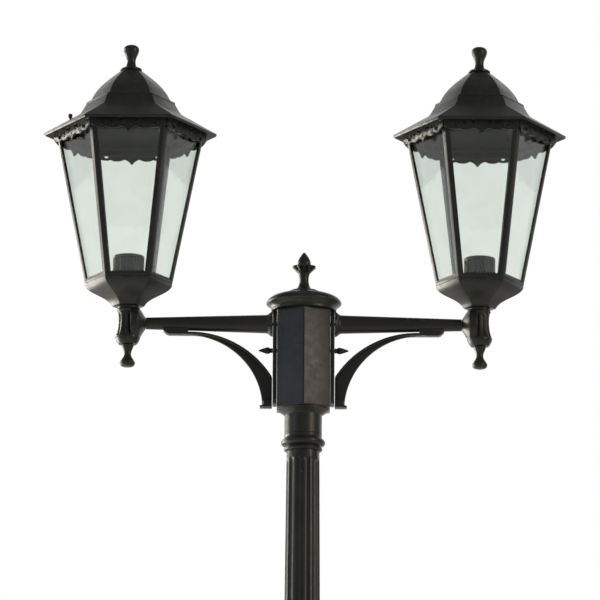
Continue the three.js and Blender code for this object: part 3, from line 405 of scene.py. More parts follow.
def float_glass():
    """Clear 3 mm float glass: faintly green, with a thin film of dust that dulls it in patches."""
    material, tree, place = new_material("float_glass_clear")
    film = add_node(tree, "TexNoise", [place, per_mm(45), 4.0, 0.6])
    specks = add_node(tree, "TexNoise", [place, per_mm(3.5), 2.0, 0.6])
    haze = add_node(tree, "MapRange", [film, 0.35, 0.8, 0.0, 1.0])
    clean = add_node(tree, "Mix", [haze, "#f0f5f1", "#ebeee9"], data_type="RGBA")
    dust = add_node(tree, "MapRange", [specks, 0.66, 0.74, 0.0, 0.5])
    return shaded(material, [dust, clean, "#dfe2da"], [film, 0.4, 0.8, 0.0, 0.02], IOR=1.45,
                  **{"Transmission Weight": 1.0})


def ground_glass_edge():
    """The ground edge of a glass plate: dull, and dark green from the depth of glass behind it."""
    material, tree, place = new_material("float_glass_ground_edge")
    grind = add_node(tree, "TexNoise", [place, per_mm(1.2), 3.0, 0.6])
    return shaded(material, [grind, "#1f2b26", "#33413b"], [grind, 0.3, 0.7, 0.5, 0.7], IOR=1.45)


def porcelain():
    """White glazed porcelain, fired: soft cream body under a hard shiny glaze with tiny pits."""
    material, tree, place = new_material("porcelain_glazed")
    cloud = add_node(tree, "TexNoise", [place, per_mm(14), 3.0])
    pits = add_node(tree, "TexVoronoi", [place, per_mm(3)])
    pitting = add_node(tree, "MapRange", [pits, 0.0, 0.12, 0.0, 1.0])
    return shaded(material, [cloud, "#e9e5d9", "#d9d3c3"],
                  [cloud, 0.3, 0.7, 0.12, 0.22], (pitting, 0.05, 0.4), IOR=1.52)


def zinc_plate():
    """Mild steel, zinc plated: dull blue-grey with a fine crystal mottle and white bloom."""
    material, tree, place = new_material("zinc_plated_steel")
    crystal = add_node(tree, "TexVoronoi", [place, per_mm(2.2)])
    bloom = add_node(tree, "TexNoise", [place, per_mm(7), 4.0])
    bloomed = add_node(tree, "MapRange", [bloom, 0.4, 0.7, 0.0, 1.0])
    return shaded(material, [bloomed, "#8d9192", "#b3b4ae"],
                  [crystal, 0.0, 0.7, 0.32, 0.5], (crystal, 0.04, 0.4), Metallic=1.0)


def sheath(name, base, marked, grain):
    """Extruded cable sheath: matt, with fine drag lines and rubbed, dusty patches."""
    material, tree, place = new_material(name)
    scale = (per_mm(grain), per_mm(grain), per_mm(grain * 12))
    stretch = add_node(tree, "Mapping", {"Vector": place, "Scale": scale})
    drag = add_node(tree, "TexNoise", [stretch, 1.0, 3.0])
    marks = add_node(tree, "TexNoise", [place, per_mm(11), 4.0])
    dusty = add_node(tree, "MapRange", [marks, 0.4, 0.7, 0.0, 1.0])
    return shaded(material, [dusty, base, marked], [drag, 0.3, 0.7, 0.5, 0.68], (drag, 0.06, 0.5), IOR=1.5)


def moulded_polyamide():
    """Ivory polyamide, injection moulded: a fine spark-eroded texture and slightly yellowed."""
    material, tree, place = new_material("polyamide_moulded_ivory")
    texture = add_node(tree, "TexNoise", [place, per_mm(0.9), 2.0])
    age = add_node(tree, "TexNoise", [place, per_mm(16), 3.0])
    return shaded(material, [age, "#d8d0b8", "#c6bb9c"],
                  [texture, 0.3, 0.7, 0.42, 0.56], (texture, 0.05, 0.4), IOR=1.53)


def pressed_brass():
    """Thin brass, pressed and rolled into a thread: warm yellow, browned in the hollows."""
    material, tree, place = new_material("brass_pressed")
    tarnish = add_node(tree, "TexNoise", [place, per_mm(6), 4.0])
    browned = add_node(tree, "MapRange", [tarnish, 0.35, 0.7, 0.0, 1.0])
    return shaded(material, [browned, "#c9a455", "#8a6a35"], [tarnish, 0.3, 0.7, 0.22, 0.42], Metallic=1.0)


CAST_ENAMEL = black_enamel("enamel_on_cast_aluminium", "#242624", "#2f312c", 1.6, 0.12, 0.34)
DRAWN_ENAMEL = black_enamel("enamel_on_drawn_aluminium", "#262725", "#33332f", 2.6, 0.07, 0.33)
GLASS = float_glass()
GLASS_EDGE = ground_glass_edge()
PORCELAIN = porcelain()
ZINC = zinc_plate()
RUBBER_SHEATH = sheath("rubber_sheath_black", "#1a1a1a", "#33312e", 1.2)
LEAD_SHEATH = sheath("silicone_sheath_white", "#dcd8cc", "#b9b3a2", 1.0)
POLYAMIDE = moulded_polyamide()
BRASS = pressed_brass()


# ---- Pieces and their places ------------------------------------------------------------------

def finish_piece(piece, node, angle=None, material=CAST_ENAMEL):
    """Smooths a piece up to an angle, paints it, unless it has its materials already, and makes
    it stand for its node, on that node's body."""
    if angle:
        smooth(piece, angle)
    if material:
        piece.data.materials.clear()
        piece.data.materials.append(material)
    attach(piece, frame["nodes"][node]["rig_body"])
    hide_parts(node)


def on_arm(side):
    """From the right arm to a side's arm."""
    return Matrix.Rotation(math.pi if side == "left" else 0, 4, "Z")


def on_lantern(side):
    """From the axis of the post to a side's lantern."""
    return Matrix.Translation((middle(f"{side}_base_bowl").x * MM, 0, 0))


def on_lantern_facing_pole(side):
    return on_lantern(side) @ on_arm(side)


def both_sides(piece, part, angle, place_on=on_lantern, material=CAST_ENAMEL):
    """Copies a piece to its place on each side, and uses it up."""
    for side in SIDES:
        copied = copy_of(piece, f"{side}_{part}_cast", place_on(side))
        finish_piece(copied, f"{side}_{part}", angle, material)
    bpy.data.objects.remove(piece)


def on_six_faces(piece, distance):
    """Six copies of a piece, one on each face of a lantern, at a distance from its axis. The
    piece is used up."""
    copies = []
    for i in range(6):
        turn = Matrix.Rotation(math.radians(120 + 60 * i), 4, "Z")
        copies.append(copy_of(piece, piece.name, turn @ Matrix.Translation((0, -distance * MM, 0))))
    bpy.data.objects.remove(piece)
    return copies


def laid(piece, start, level, turn=math.pi / 2):
    """Lays a piece that was turned about Z along X, from a start and at a level."""
    place = Matrix.Translation((start * MM, 0, level * MM))
    piece.data.transform(place @ Matrix.Rotation(turn, 4, "Y"))
    return piece


# ---- Camera, floor and light ------------------------------------------------------------------

AIM = Vector((-5 * MM, 0, 1.9158))
DISTANCE = 7.5
ELEVATION = math.radians(-13.5)
ROLL = math.radians(0.35)
LENS = 354.6


def set_camera():
    lens = bpy.data.cameras.new("camera")
    lens.lens = LENS
    lens.sensor_width = 36
    lens.clip_end = 60
    camera = bpy.data.objects.new("camera", lens)
    bpy.context.scene.collection.objects.link(camera)
    back = Vector((0, -math.cos(ELEVATION), math.sin(ELEVATION)))
    camera.location = AIM + back * DISTANCE
    look = (AIM - camera.location).to_track_quat("-Z", "Y")
    camera.rotation_mode = "QUATERNION"
    camera.rotation_quaternion = look @ Matrix.Rotation(ROLL, 4, "Z").to_quaternion()
    bpy.context.scene.camera = camera


def soft_light(name, place, aim, size, power, colour):
    data = bpy.data.lights.new(name, "AREA")
    data.shape = "RECTANGLE"
    data.size, data.size_y = size
    data.energy = power
    data.color = linear(colour)[:3]
    light = bpy.data.objects.new(name, data)
    bpy.context.scene.collection.objects.link(light)
    light.location = place
    light.rotation_mode = "QUATERNION"
    light.rotation_quaternion = (Vector(aim) - Vector(place)).to_track_quat("-Z", "Y")
    light.visible_camera = False


def set_studio():
    """A white room: bright behind the post and to its left, dim overhead and on the near side."""
    scene = bpy.context.scene
    scene.view_settings.view_transform = "Standard"
    scene.view_settings.look = "None"
    scene.world = bpy.data.worlds.new("studio")
    scene.world.use_nodes = True
    tree = scene.world.node_tree
    tree.nodes.clear()
    room = add_node(tree, "SeparateXYZ", [add_node(tree, "TexCoord").outputs["Generated"]])
    behind = add_node(tree, "MapRange", [room.outputs["Y"], 0.34, 0.72, 0.0, 0.95])
    below_ceiling = add_node(tree, "MapRange", [room.outputs["Z"], 0.52, 0.68, 1.0, 0.0])
    bright = add_node(tree, "Math", [behind, below_ceiling], operation="MULTIPLY")
    shown = add_node(tree, "Math", [bright, 0.17], operation="ADD")
    rays = add_node(tree, "LightPath").outputs
    seen = add_node(tree, "Math", [rays["Is Camera Ray"], rays["Is Transmission Ray"]], operation="MAXIMUM")
    strength = add_node(tree, "Mix", [seen, shown, 1.0], data_type="FLOAT")
    add_node(tree, "OutputWorld", [add_node(tree, "Background", ["#ffffff", strength])])
    soft_light("left_low_softbox", (-3.0, 1.9, 1.2), (-0.2, 0, 1.95), (2.4, 1.6), 120, "#fbf6ea")
    soft_light("left_high_softbox", (-3.0, 1.9, 3.0), (-0.2, 0, 2.1), (2.4, 0.5), 52, "#fbf6ea")
    soft_light("right_softbox", (2.6, -1.9, 2.4), (0, 0, 1.85), (1.0, 1.8), 22, "#ffeedd")
    soft_light("left_fill", (-2.6, -1.7, 2.4), (0, 0, 1.85), (1.0, 1.8), 6, "#cfe0ff")


def set_floor():
    bpy.ops.mesh.primitive_plane_add(size=12, location=(0, 0, -0.0005))
    floor = bpy.context.object
    floor.name = "studio_floor"
    material, tree, place = new_material("studio_floor_paint")
    cloud = add_node(tree, "TexNoise", [place, per_mm(900), 3.0])
    floor.data.materials.append(shaded(material, [cloud, "#e4e3df", "#efeeeb"], [cloud, 0, 1, 0.8, 0.8]))


# ---- Lantern pieces, made on the lantern's own axis -------------------------------------------

def make_roof():
    """Domed six-sided roof on a stepped collar, with a straight eave; hollow underneath."""
    bottom, height, corner = measure("left_roof")
    tip, flare, ledge, wall = 3.6, 29.2, 46.1, 3.2
    dome = sweep((51, ledge), (45, ledge + 17), (30, height - 12), (14, height), 14)
    inner_dome = [(radius - wall, rise - 1.5) for radius, rise in reversed(dome[1:])]
    roof = turned("roof_blank", [
        (corner - 1.2, 0), (corner, tip - 0.6), (corner - 0.4, tip),
        (66.5, flare - 0.9), (64.2, flare + 0.8), (61.8, flare + 4.2), (59.4, flare + 8.4),
        (56.9, ledge - 3.8), (56.7, ledge - 1.1), (52.4, ledge - 0.5), *dome[1:],
        (4.2, height), (4.2, height - wall), *inner_dome, (53, ledge - 5), (62.5, flare - 3.5),
        (corner - 4.2, 1.5),
    ], 6, bottom, hollow=True)
    round_edges(roof, 1.1, 3, 14)
    both_sides(roof, "roof", 22)


def make_roof_finial():
    """A turned knob: flat-topped bell on a waisted stem over a thin flange."""
    seat = high("left_roof").z + 0.3
    bottom, top = low("left_roof_finial").z - seat, high("left_roof_finial").z - seat
    knob = turned("finial_blank", [
        (3, bottom), (3, 0), (13.9, 0), *arc((13.1, 1.4), 0.8, -40, 80, 4),
        *through([(11.8, 3.1), (7.6, 5), (6.1, 8), (5.6, 12), (6.4, 17), (8.6, 22), (9.8, 25.6)]),
        *sweep((9.8, 25.6), (10.9, 29.2), (9.2, top - 1.2), (4.5, top - 0.2), 8)[1:], (0.6, top),
    ], SMALL_ROUND, seat, point=True)
    both_sides(knob, "roof_finial", 40)


def make_roof_screws():
    """The thumb screw on each eave: a slotted, ridged head on a thin shank."""
    for side in SIDES:
        node = f"{side}_roof_screw"
        top = high(node).z
        screw = turned(f"{node}_turned", [
            (1.4, low(node).z - top), (1.4, -8.6), (2.4, -8), (2.8, -7), (2.4, -6), (2.8, -5),
            *arc((1.9, -4), 0.9, 0, 80, 4),
        ], 20, top)
        cut_with(screw, outlined("slit", [(-4, -4.1), (4, -4.1), (4, -2), (-4, -2)], 0.8, top))
        place = middle(node) * MM
        screw.data.transform(Matrix.Translation((place.x, place.y, 0)))
        finish_piece(screw, node, 35)


def make_cage():
    """Six window frames in one casting: a tapered shell, its faces inset and cut out, then given
    thickness, with a toothed bead along the foot of each window."""
    foot, height, head_corner = measure("left_cage")
    foot_corner = measure("left_base_bowl")[2]
    cage = turned("cage_blank", [(foot_corner, -0.5), (head_corner, height)], 6, foot)
    edit(cage)
    select_where(cage, faces=lambda face: abs(face.normal.z) > 0.9)
    bpy.ops.mesh.delete(type="ONLY_FACE")
    bpy.ops.mesh.select_all(action="SELECT")
    bpy.ops.mesh.inset(use_individual=True, thickness=6.6 * MM, depth=0)
    bpy.ops.mesh.delete(type="FACE")
    for start, end, shift in ((3, 12, -1.4), (height - 12, height - 4, -7)):
        select_where(cage, points=lambda point: start < point.co.z / MM - foot < end)
        bpy.ops.transform.translate(value=(0, 0, shift * MM))
    face_outwards()
    leave_edit()
    modifier(cage, "SOLIDIFY", thickness=2.6 * MM, offset=1, use_even_offset=True)
    round_edges(cage, 0.7, 3, 25)
    teeth = toothed_beads(foot, foot_corner, (head_corner - foot_corner) / height)
    cage = joined("cage_blank", [cage] + teeth)
    both_sides(cage, "cage", 30)


def toothed_beads(foot, corner, taper):
    """A row of small round teeth that stands up along the foot of each window."""
    pitch, rail = 3.9, 4.2
    rail_corner = corner + taper * rail
    count = int((rail_corner - 14) / pitch)
    outline = [(-count * pitch / 2, rail - 1.5)]
    for i in range(count):
        outline += arc(((-count / 2 + i + 0.5) * pitch, rail), pitch * 0.46, 180, 0, 5)
    outline.append((count * pitch / 2, rail - 1.5))
    return on_six_faces(outlined("tooth_row", outline, 1.8, foot), rail_corner * COS30 - 1.1)


def make_panes():
    """Six glass plates with mitred sides and ground edges, behind the windows of the cage."""
    foot, height, head_corner = measure("left_cage")
    foot_corner = measure("left_base_bowl")[2]
    taper = (head_corner - foot_corner) / height
    tilt = math.atan(taper * COS30)
    frame_wall, thick, gap = 2.6, 3.0, 0.2
    rises = [level - foot for level in (low("left_pane_1").z, high("left_pane_1").z)]

    def half_width(rise, inset):
        across = (foot_corner + taper * rise) * COS30
        return (across - inset / math.cos(tilt)) * math.tan(math.pi / 6) - gap

    outer = [half_width(rise, frame_wall) for rise in rises]
    inner = [half_width(rise, frame_wall + thick) for rise in rises]
    start, end = (rise / math.cos(tilt) for rise in rises)
    corners = [(-outer[0], start), (outer[0], start), (outer[1], end), (-outer[1], end)]
    plate = outlined("pane_cut", corners, thick)
    edit(plate)
    for level, ratio in ((start, inner[0] / outer[0]), (end, inner[1] / outer[1])):
        select_where(plate, points=lambda point: point.co.y > 0 and abs(point.co.z / MM - level) < 1)
        bpy.ops.transform.resize(value=(ratio, 1, 1), center_override=(0, 0, 0))
    leave_edit()
    round_edges(plate, 0.25, 1, 30)
    for material in (GLASS, GLASS_EDGE):
        plate.data.materials.append(material)
    edit(plate)
    select_where(plate, faces=lambda face: abs(face.normal.y) < 0.9)
    plate.active_material_index = 1
    bpy.ops.object.material_slot_assign()
    leave_edit()
    lean = Matrix.Rotation(tilt, 4, "X") @ Matrix.Translation((0, (frame_wall + thick / 2) * MM, 0))
    plate.data.transform(Matrix.Translation((0, 0, foot * MM)) @ lean)
    panes = on_six_faces(plate, foot_corner * COS30)
    for side in SIDES:
        for i, pane in enumerate(panes):
            node = f"{side}_pane_{i + 1}"
            copied = copy_of(pane, f"{node}_glass", on_lantern(side))
            finish_piece(copied, node, material=None)
    for pane in panes:
        bpy.data.objects.remove(pane)


def valance_edge(half):
    """The lower edge of one side, from right to left, with heights from its corners: two
    scallops, a pointed drop and two scallops."""
    right = [
        (half, 1.4), *sweep((half - 2.2, 0.9), (half - 6, -2.4), (31, -4), (27.5, -1.6), 6),
        *sweep((27.5, -1.6), (25, -4.2), (15, -5), (10.5, -1.4), 7)[1:],
        *sweep((10.5, -1.4), (7.5, -1.2), (3.2, -4.4), (1.6, -6.4), 5)[1:],
        *arc((0, -6.4), 1.6, 0, -90, 3)[1:],
    ]
    return right + [(-x, z) for x, z in reversed(right[:-1])]


def scroll(centre, radius, start, turns, thick, front):
    """A raised scroll: a wire that winds in and thins out."""
    points = []
    steps = int(18 * abs(turns))
    for i in range(steps + 1):
        share = i / steps
        angle = math.radians(start + 360 * turns * share)
        reach = radius * (1 - 0.72 * share)
        x, z = centre[0] + reach * math.cos(angle), centre[1] + reach * math.sin(angle)
        points.append((x, z, 1 - 0.45 * share))
    return wire("scroll", points, thick, front, 2)


def make_valance():
    """Cast lace skirt: six scalloped sides with pierced holes and raised scrolls and a bead."""
    top = high("left_valance").z
    outer = measure("left_valance")[2]
    wall, drop = 2.1, 13.7
    level = top - drop
    half = outer / 2 - 1.15
    edge = valance_edge(half)
    side = outlined("valance_side", [(-half, drop), (half, drop)] + edge, wall, level)
    for x, rise, radius in ((33, 2.9, 2.8), (21.5, 6.2, 1.6), (10.5, 7.2, 2.3)):
        for sign in (-1, 1):
            drill(side, (sign * x, 0, level + rise), radius, 12, (math.pi / 2, 0, 0), 20)
    relief = [scroll((0, level - 1.2), 2.8, 90, 1.0, 0.7, -wall / 2)]
    for x, rise, radius, start, turns, thick in (
        (33, 2.9, 4.9, 90, 1.3, 0.8), (10.5, 7.2, 4.4, -90, -1.3, 0.8),
        (42, 7.5, 3.4, 0, 1.2, 0.7), (21.5, 1.2, 3.2, 180, 1.1, 0.7),
    ):
        for sign in (-1, 1):
            relief.append(scroll((sign * x, level + rise), radius, start, sign * turns, thick, -wall / 2))
    relief.append(wire("valance_bead", [(x, level + z + 0.8, 1) for x, z in edge], 0.8, -0.9, 1))
    side = joined("valance_side", [side] + relief)
    valance = joined("valance_blank", on_six_faces(side, outer * COS30 - wall / 2 - 0.1))
    both_sides(valance, "valance", 35)


def make_lampholder_cup():
    """A ribbed metal cup with a rolled rim that hides the lampholder."""
    bottom, height, outer = measure("left_lampholder_cup")
    ribs, per_rib = 24, 4
    sunk = outer - 1.5
    cup = turned("cup_blank", [
        (4.6, 0), (outer - 1.2, 0), (sunk, 3), (sunk, height - 4.4), (outer, height - 3.6),
        (outer, height - 0.6), (outer - 0.5, height), (outer - 1.8, height), (outer - 2.1, height - 0.6),
        (outer - 2.1, 2), (4.6, 2),
    ], ribs * per_rib, bottom, hollow=True)
    levels = (bottom + 2, bottom + height - 4)
    scale_turns(cup, ribs * per_rib, per_rib, (0, 1), (outer - 0.15) / sunk, levels, sunk - 0.1)
    both_sides(cup, "lampholder_cup", 20, on_lantern, DRAWN_ENAMEL)


def make_lampholder():
    """A porcelain screw lampholder: body with a rolled mouth and a threaded brass shell."""
    top = high("left_lampholder").z
    foot = low("left_lampholder").z - top
    body = turned("lampholder_blank", [
        (0.8, foot), (15.6, foot), (16.4, foot + 0.8), (17, foot + 12), (17, -2.4),
        *arc((15.6, -1.4), 1.4, 0, 150, 6), (13.6, -2.4), (13.6, -26.5), (0.8, -26.5),
    ], SMALL_ROUND, top, hollow=True)
    pitch, depth = 3.6, 22
    turns = range(int(depth / pitch * 4))
    thread = [(12.9 + 0.55 * math.cos(math.pi * i / 2), -3 - i * pitch / 4) for i in turns]
    shell = turned("brass_shell", [(13.5, -3), *thread, (13.5, thread[-1][1])], SMALL_ROUND, top, hollow=True)
    button = [(3.2, -26.3), (3.2, -24), (2.6, -23.2), (1, -22.9)]
    contact = turned("brass_contact", button, 20, top, point=True)
    smooth(shell, 60)
    smooth(contact, 40)
    for side in SIDES:
        node = f"{side}_lampholder"
        holder = copy_of(body, f"{node}_porcelain", on_lantern(side))
        finish_piece(holder, node, 35, PORCELAIN)
        for part in (shell, contact):
            metal = copy_of(part, f"{node}_{part.name}", on_lantern(side))
            metal.data.materials.append(BRASS)
            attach(metal, frame["nodes"][node]["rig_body"])
    for part in (body, shell, contact):
        bpy.data.objects.remove(part)


def make_base_bowl():
    """Six-sided ogee bowl with a raised rim, hollow for the wiring."""
    bottom, height, corner = measure("left_base_bowl")
    outside = sweep((20.5, 0), (27, 13.4), (50, 15.4), (corner - 0.2, height - 3.4), 14)
    bowl = turned("bowl_blank", [
        (4.6, 0), *outside, (corner, height - 2.6), (corner, height), (corner - 4.5, height),
        (corner - 8, height - 6), (38, height - 11), (31, height - 13.6), (4.6, height - 13.6),
    ], 6, bottom, hollow=True)
    round_edges(bowl, 0.9, 3, 14)
    both_sides(bowl, "base_bowl", 22)


def make_arm_socket():
    """A lobed vase casting with a bead on top, a lower bulge and a cone that meets the arm. The
    cone points along -X."""
    bottom, height, _ = measure("right_arm_socket")
    level = middle("right_arm").z
    reach = middle("right_base_bowl").x - low("right_arm_socket").x
    sides, per_lobe = 60, 6
    vase = turned("socket_blank", [
        *through([(11.4, 0), (14, 3.6), (16, 8.6), (14.8, 12.6), (13.2, 19), (12.2, 28), (12.3, 36),
                  (12.7, height - 7.6)], 3),
        (12.7, height - 6.8), *arc((12.6, height - 4.6), 1.7, -60, 70, 5), (13.2, height - 2.2),
        (13.9, height - 0.9), (13.9, height),
    ], sides, bottom)
    for offsets, shrink in (((0,), 0.9), ((1, 5), 0.94)):
        scale_turns(vase, sides, per_lobe, offsets, shrink, (bottom + 10, bottom + height - 9), 8)
    cone = laid(turned("socket_cone", [
        (22, 4), (21.6, 12.5), *sweep((21.6, 12.5), (18.4, 16), (12.6, 19), (9, reach - 1.2), 6)[1:],
        (8.2, reach - 0.8), (8, reach),
    ], SMALL_ROUND), 0, level, -math.pi / 2)
    for plane, above in ((bottom + 5, False), (bottom + height - 2.4, True)):
        edit(cone)
        bpy.ops.mesh.bisect(
            plane_co=(0, 0, plane * MM), plane_no=(0, 0, 1), use_fill=True, clear_outer=above,
            clear_inner=not above,
        )
        leave_edit()
    cut_with(vase, cone, "UNION")
    modifier(vase, "REMESH", mode="VOXEL", voxel_size=0.55 * MM)
    modifier(vase, "SMOOTH", factor=0.5, iterations=5)
    both_sides(vase, "arm_socket", 60, on_lantern_facing_pole)


def make_drop_finial():
    """A turned drop: a cup under the socket, a waist and a flared foot."""
    seat = low("left_arm_socket").z - 0.3
    foot = low("left_drop_finial").z - seat
    drop = turned("drop_blank", [
        (3, 11.8), (3, 0), (7.6, 0),
        *through([(7.9, -1.2), (6.9, -4.4), (5.2, -8.4), (4.5, -12), (5.4, -15.8), (8, -20), (9.6, -22.8)]),
        *sweep((9.6, -22.8), (10.1, foot + 3.6), (9, foot + 1), (5, foot + 0.3), 6)[1:], (0.8, foot),
    ], SMALL_ROUND, seat, point=True)
    both_sides(drop, "drop_finial", 40)


# ---- Arms -------------------------------------------------------------------------------------

ARM_SIDES = 48


def make_arms():
    """A tapered tube with a trumpet-shaped root."""
    start, level = low("right_arm").x, middle("right_arm").z
    length = high("right_arm").x - start
    arm = laid(turned("arm_blank", [
        (4.3, 0), (16, 0), *sweep((16, 0.6), (15.2, 4.6), (12, 4.8), (11.7, 8.6), 7),
        (7.6, length - 3), (7.5, length), (4.3, length),
    ], ARM_SIDES, hollow=True), start, level)
    round_edges(arm, 0.4, 2, 40)
    both_sides(arm, "arm", 35, on_arm, DRAWN_ENAMEL)


def drill_for_arm(piece, x, depth):
    """Bores the hole for an arm's wiring and, below it, the one for its knob."""
    for node, radius in (("right_arm_knob", 2.7), ("right_arm", 4.4)):
        drill(piece, (x, 0, middle(node).z), radius, depth, (0, math.pi / 2, 0))


def make_arm_plates():
    """A flat plate between the box and an arm, with its corners cut off."""
    lowest, highest = low("right_arm_plate"), high("right_arm_plate")
    half, height = (highest.y - lowest.y) / 2, highest.z - lowest.z
    right = [(half - 4, 0), (half, 4), (half, height - 9), (half - 6, height)]
    outline = right + [(-x, z) for x, z in reversed(right)]
    plate = outlined("plate_blank", outline, highest.x - lowest.x, lowest.z)
    x = middle("right_arm_plate").x
    plate.data.transform(Matrix.Translation((x * MM, 0, 0)) @ Matrix.Rotation(math.pi / 2, 4, "Z"))
    drill_for_arm(plate, x, 20)
    round_edges(plate, 0.9, 3, 30)
    both_sides(plate, "arm_plate", 30, on_arm)


def make_arm_knobs():
    """A pointed nut: a collar, a swelling and a long cone, on a shank into the box."""
    face = low("right_arm").x
    shank, tip = low("right_arm_knob").x - face, high("right_arm_knob").x - face
    knob = turned("knob_blank", [
        (2.3, shank), (2.3, 0), (3.1, 0), (3.1, 1.6), (2.7, 2.2),
        *through([(2.9, 2.6), (4.2, 5), (4.1, 7.4), (2.9, 11.4), (1.2, tip - 1.6)]), (0.3, tip),
    ], 28, point=True)
    laid(knob, face, middle("right_arm_knob").z)
    both_sides(knob, "arm_knob", 35, on_arm)


def make_braces():
    """A quarter-round bracket: thin web, a wider flange along its upper edge, a saddle pad under
    the arm and a foot with a small spur."""
    lowest, highest = low("right_brace"), high("right_brace")
    root, foot = lowest.x, lowest.z
    level = middle("right_arm").z
    pad_end, pad_start = highest.x, highest.x - 28.8
    pad_bottom = level - 14.6
    top_ends = ((root, foot + 38.7), (pad_start, pad_bottom + 3))
    upper = bow(*top_ends, 122)[::-1]
    lower = bow((root + 12.6, foot + 7.4), (pad_start, pad_bottom), 97)
    brace = outlined("brace_web", [(root, foot), (root + 12.6, foot)] + lower + upper, 4.4)
    flange = outlined("brace_flange", upper + bow(*top_ends, 122, 3.2), 13.6)
    pad = outlined("brace_pad", [
        (pad_start - 3, 0), (pad_end - 8, 0), (pad_end - 4.4, 1), (pad_end, 5), (pad_end, 9.2),
        (pad_start - 3, 9.2),
    ], 13.6, pad_bottom)
    block = outlined("brace_foot", [
        (root, 0), (root + 15.5, 0), (root + 15.5, 1.6), (root + 11, 2.6), (root + 11, 8.4), (root, 8.4),
    ], 15.6, foot)
    round_edges(brace, 0.9, 3, 30)
    for part, width, segments in ((flange, 1.0, 3), (pad, 0.8, 2), (block, 0.7, 2)):
        round_edges(part, width, segments, 30)
        cut_with(brace, part, "UNION")
    start, end = low("right_arm").x, high("right_arm").x
    seat = turned("seat", [(16.3, -1), (16.3, 0.6), (12, 8.6), (7.9, end - start)], ARM_SIDES)
    cut_with(brace, laid(seat, start, level))
    both_sides(brace, "brace", 35, on_arm)


# ---- Head box and cap -------------------------------------------------------------------------

def make_head_box():
    """A six-sided tube with a thick floor, bored on both sides for the arms."""
    lowest, highest = low("head_box"), high("head_box")
    height, corner = highest.z - lowest.z, (highest.y - lowest.y) / 2
    inner = corner - 4 / COS30
    box = turned("head_box_cast", [
        (12.2, 0), (corner, 0), (corner, height), (inner, height), (inner, 5), (12.2, 5),
    ], 6, lowest.z, 90, hollow=True)
    drill_for_arm(box, 0, 100)
    round_edges(box, 1.3, 4, 30)
    finish_piece(box, "head_box", 30, DRAWN_ENAMEL)


def make_head_cap():
    """A turned cap: a lip inside the box, a hollow cove under a round rim and a low dome."""
    seat = high("head_box").z + 0.3
    bottom, top = low("head_cap").z - seat, high("head_cap").z - seat
    rim = measure("head_cap")[2]
    lip = -low("head_box").x - 4.3
    cap = turned("head_cap_turned", [
        (lip - 3, bottom), (lip, bottom), (lip, 0), (rim - 6.6, 0), (rim - 6.6, 1),
        *sweep((rim - 6.6, 1.4), (rim - 6.2, 5), (rim - 4, 7), (rim - 1.2, 8.6), 6),
        *arc((rim - 1.9, 10.6), 1.9, -50, 50, 6),
        *sweep((rim - 1, 13.2), (rim - 5, 18.6), (rim - 14, 21.4), (20.6, top - 0.9), 12),
        (19.6, top), (3.3, top), (3.3, top - 5), (19, top - 5), (lip - 3, 14),
    ], ROUND, seat, hollow=True)
    finish_piece(cap, "head_cap", 35)


def make_cap_finial():
    """Base moulding, waisted stem, thin leaf plate with a scalloped edge and a pointed acorn."""
    seat = high("head_cap").z + 0.3
    bottom, top = low("cap_finial").z - seat, high("cap_finial").z - seat
    leaf, sides, per_leaf = 33, 48, 6
    finial = turned("cap_finial_turned", [
        (3, bottom), (3, 0), (18.8, 0), *arc((18, 0.9), 0.9, -30, 90, 4),
        *through([(16.8, 1.9), (12.4, 3.4), (8.4, 6.4), (6.5, 11), (6, 16), (6.1, 20), (7.7, 25),
                  (11.8, 29.4), (15, leaf - 0.6)]),
        (15.6, leaf + 0.2), (15.2, leaf + 0.9), (11.6, leaf + 2.2),
        *sweep((8.4, leaf + 2.8), (9.4, leaf + 8.2), (5.6, leaf + 13.6), (1.3, top - 0.7), 12), (0.4, top),
    ], sides, seat, point=True)
    levels = (seat + leaf - 5, seat + leaf + 2.6)
    for offsets, shrink in (((0,), 0.86), ((1, 5), 0.94)):
        scale_turns(finial, sides, per_leaf, offsets, shrink, levels, 10.4)
    finish_piece(finial, "cap_finial", 45)


def make_wiring():
    """The hidden pieces keep their frame shapes, with rounded edges and their own finishes."""
    plans = [
        ("terminal_block", POLYAMIDE, 0.8), ("terminal_bracket", ZINC, 0.5),
        ("supply_cable", RUBBER_SHEATH, 0), ("left_lead", LEAD_SHEATH, 0), ("right_lead", LEAD_SHEATH, 0),
    ]
    for node, material, rounding in plans:
        piece = frame["nodes"][node]
        piece.data.materials.clear()
        piece.data.materials.append(material)
        weld = piece.modifiers.new("weld", "WELD")
        weld.merge_threshold = 0.01 * MM
        if rounding:
            bevel = piece.modifiers.new("bevel", "BEVEL")
            bevel.width = rounding * MM
            bevel.segments = 2
        else:
            refine = piece.modifiers.new("refine", "SUBSURF")
            refine.levels = refine.render_levels = 1


# ---- Neck, pole and base ----------------------------------------------------------------------

def make_neck():
    """A sleeve on a thinner spigot, flared at the top under the box."""
    bottom, height, flare = measure("neck_sleeve")
    shoulder = high("pole_collar").z + 0.3 - bottom
    sleeve = turned("neck_sleeve_cast", [
        (11.8, 0), (15.2, 0), (15.2, shoulder), (23.2, shoulder), (23.7, shoulder + 0.6),
        *sweep((23.7, height - 7.4), (24, height - 6.6), (31, height - 2), (flare, height - 0.8), 5),
        (flare, height), (11.8, height),
    ], ROUND, bottom, hollow=True)
    finish_piece(sleeve, "neck_sleeve", 32)


def make_collar():
    """Two rolled rings: a wide one above and a lesser one below it."""
    bottom, height, wide = measure("pole_collar")
    collar = turned("pole_collar_cast", [
        (15.9, 0), (22.4, 0), *arc((22.3, 2.6), 2.1, -50, 80, 6), (22.4, 5.6), (23.4, 6.6),
        *arc((wide - 3.9, 11), 3.9, -65, 65, 10), (24.2, 16.4), (23.7, 17.6), (23.7, height), (15.9, height),
    ], ROUND, bottom, hollow=True)
    finish_piece(collar, "pole_collar", 40)


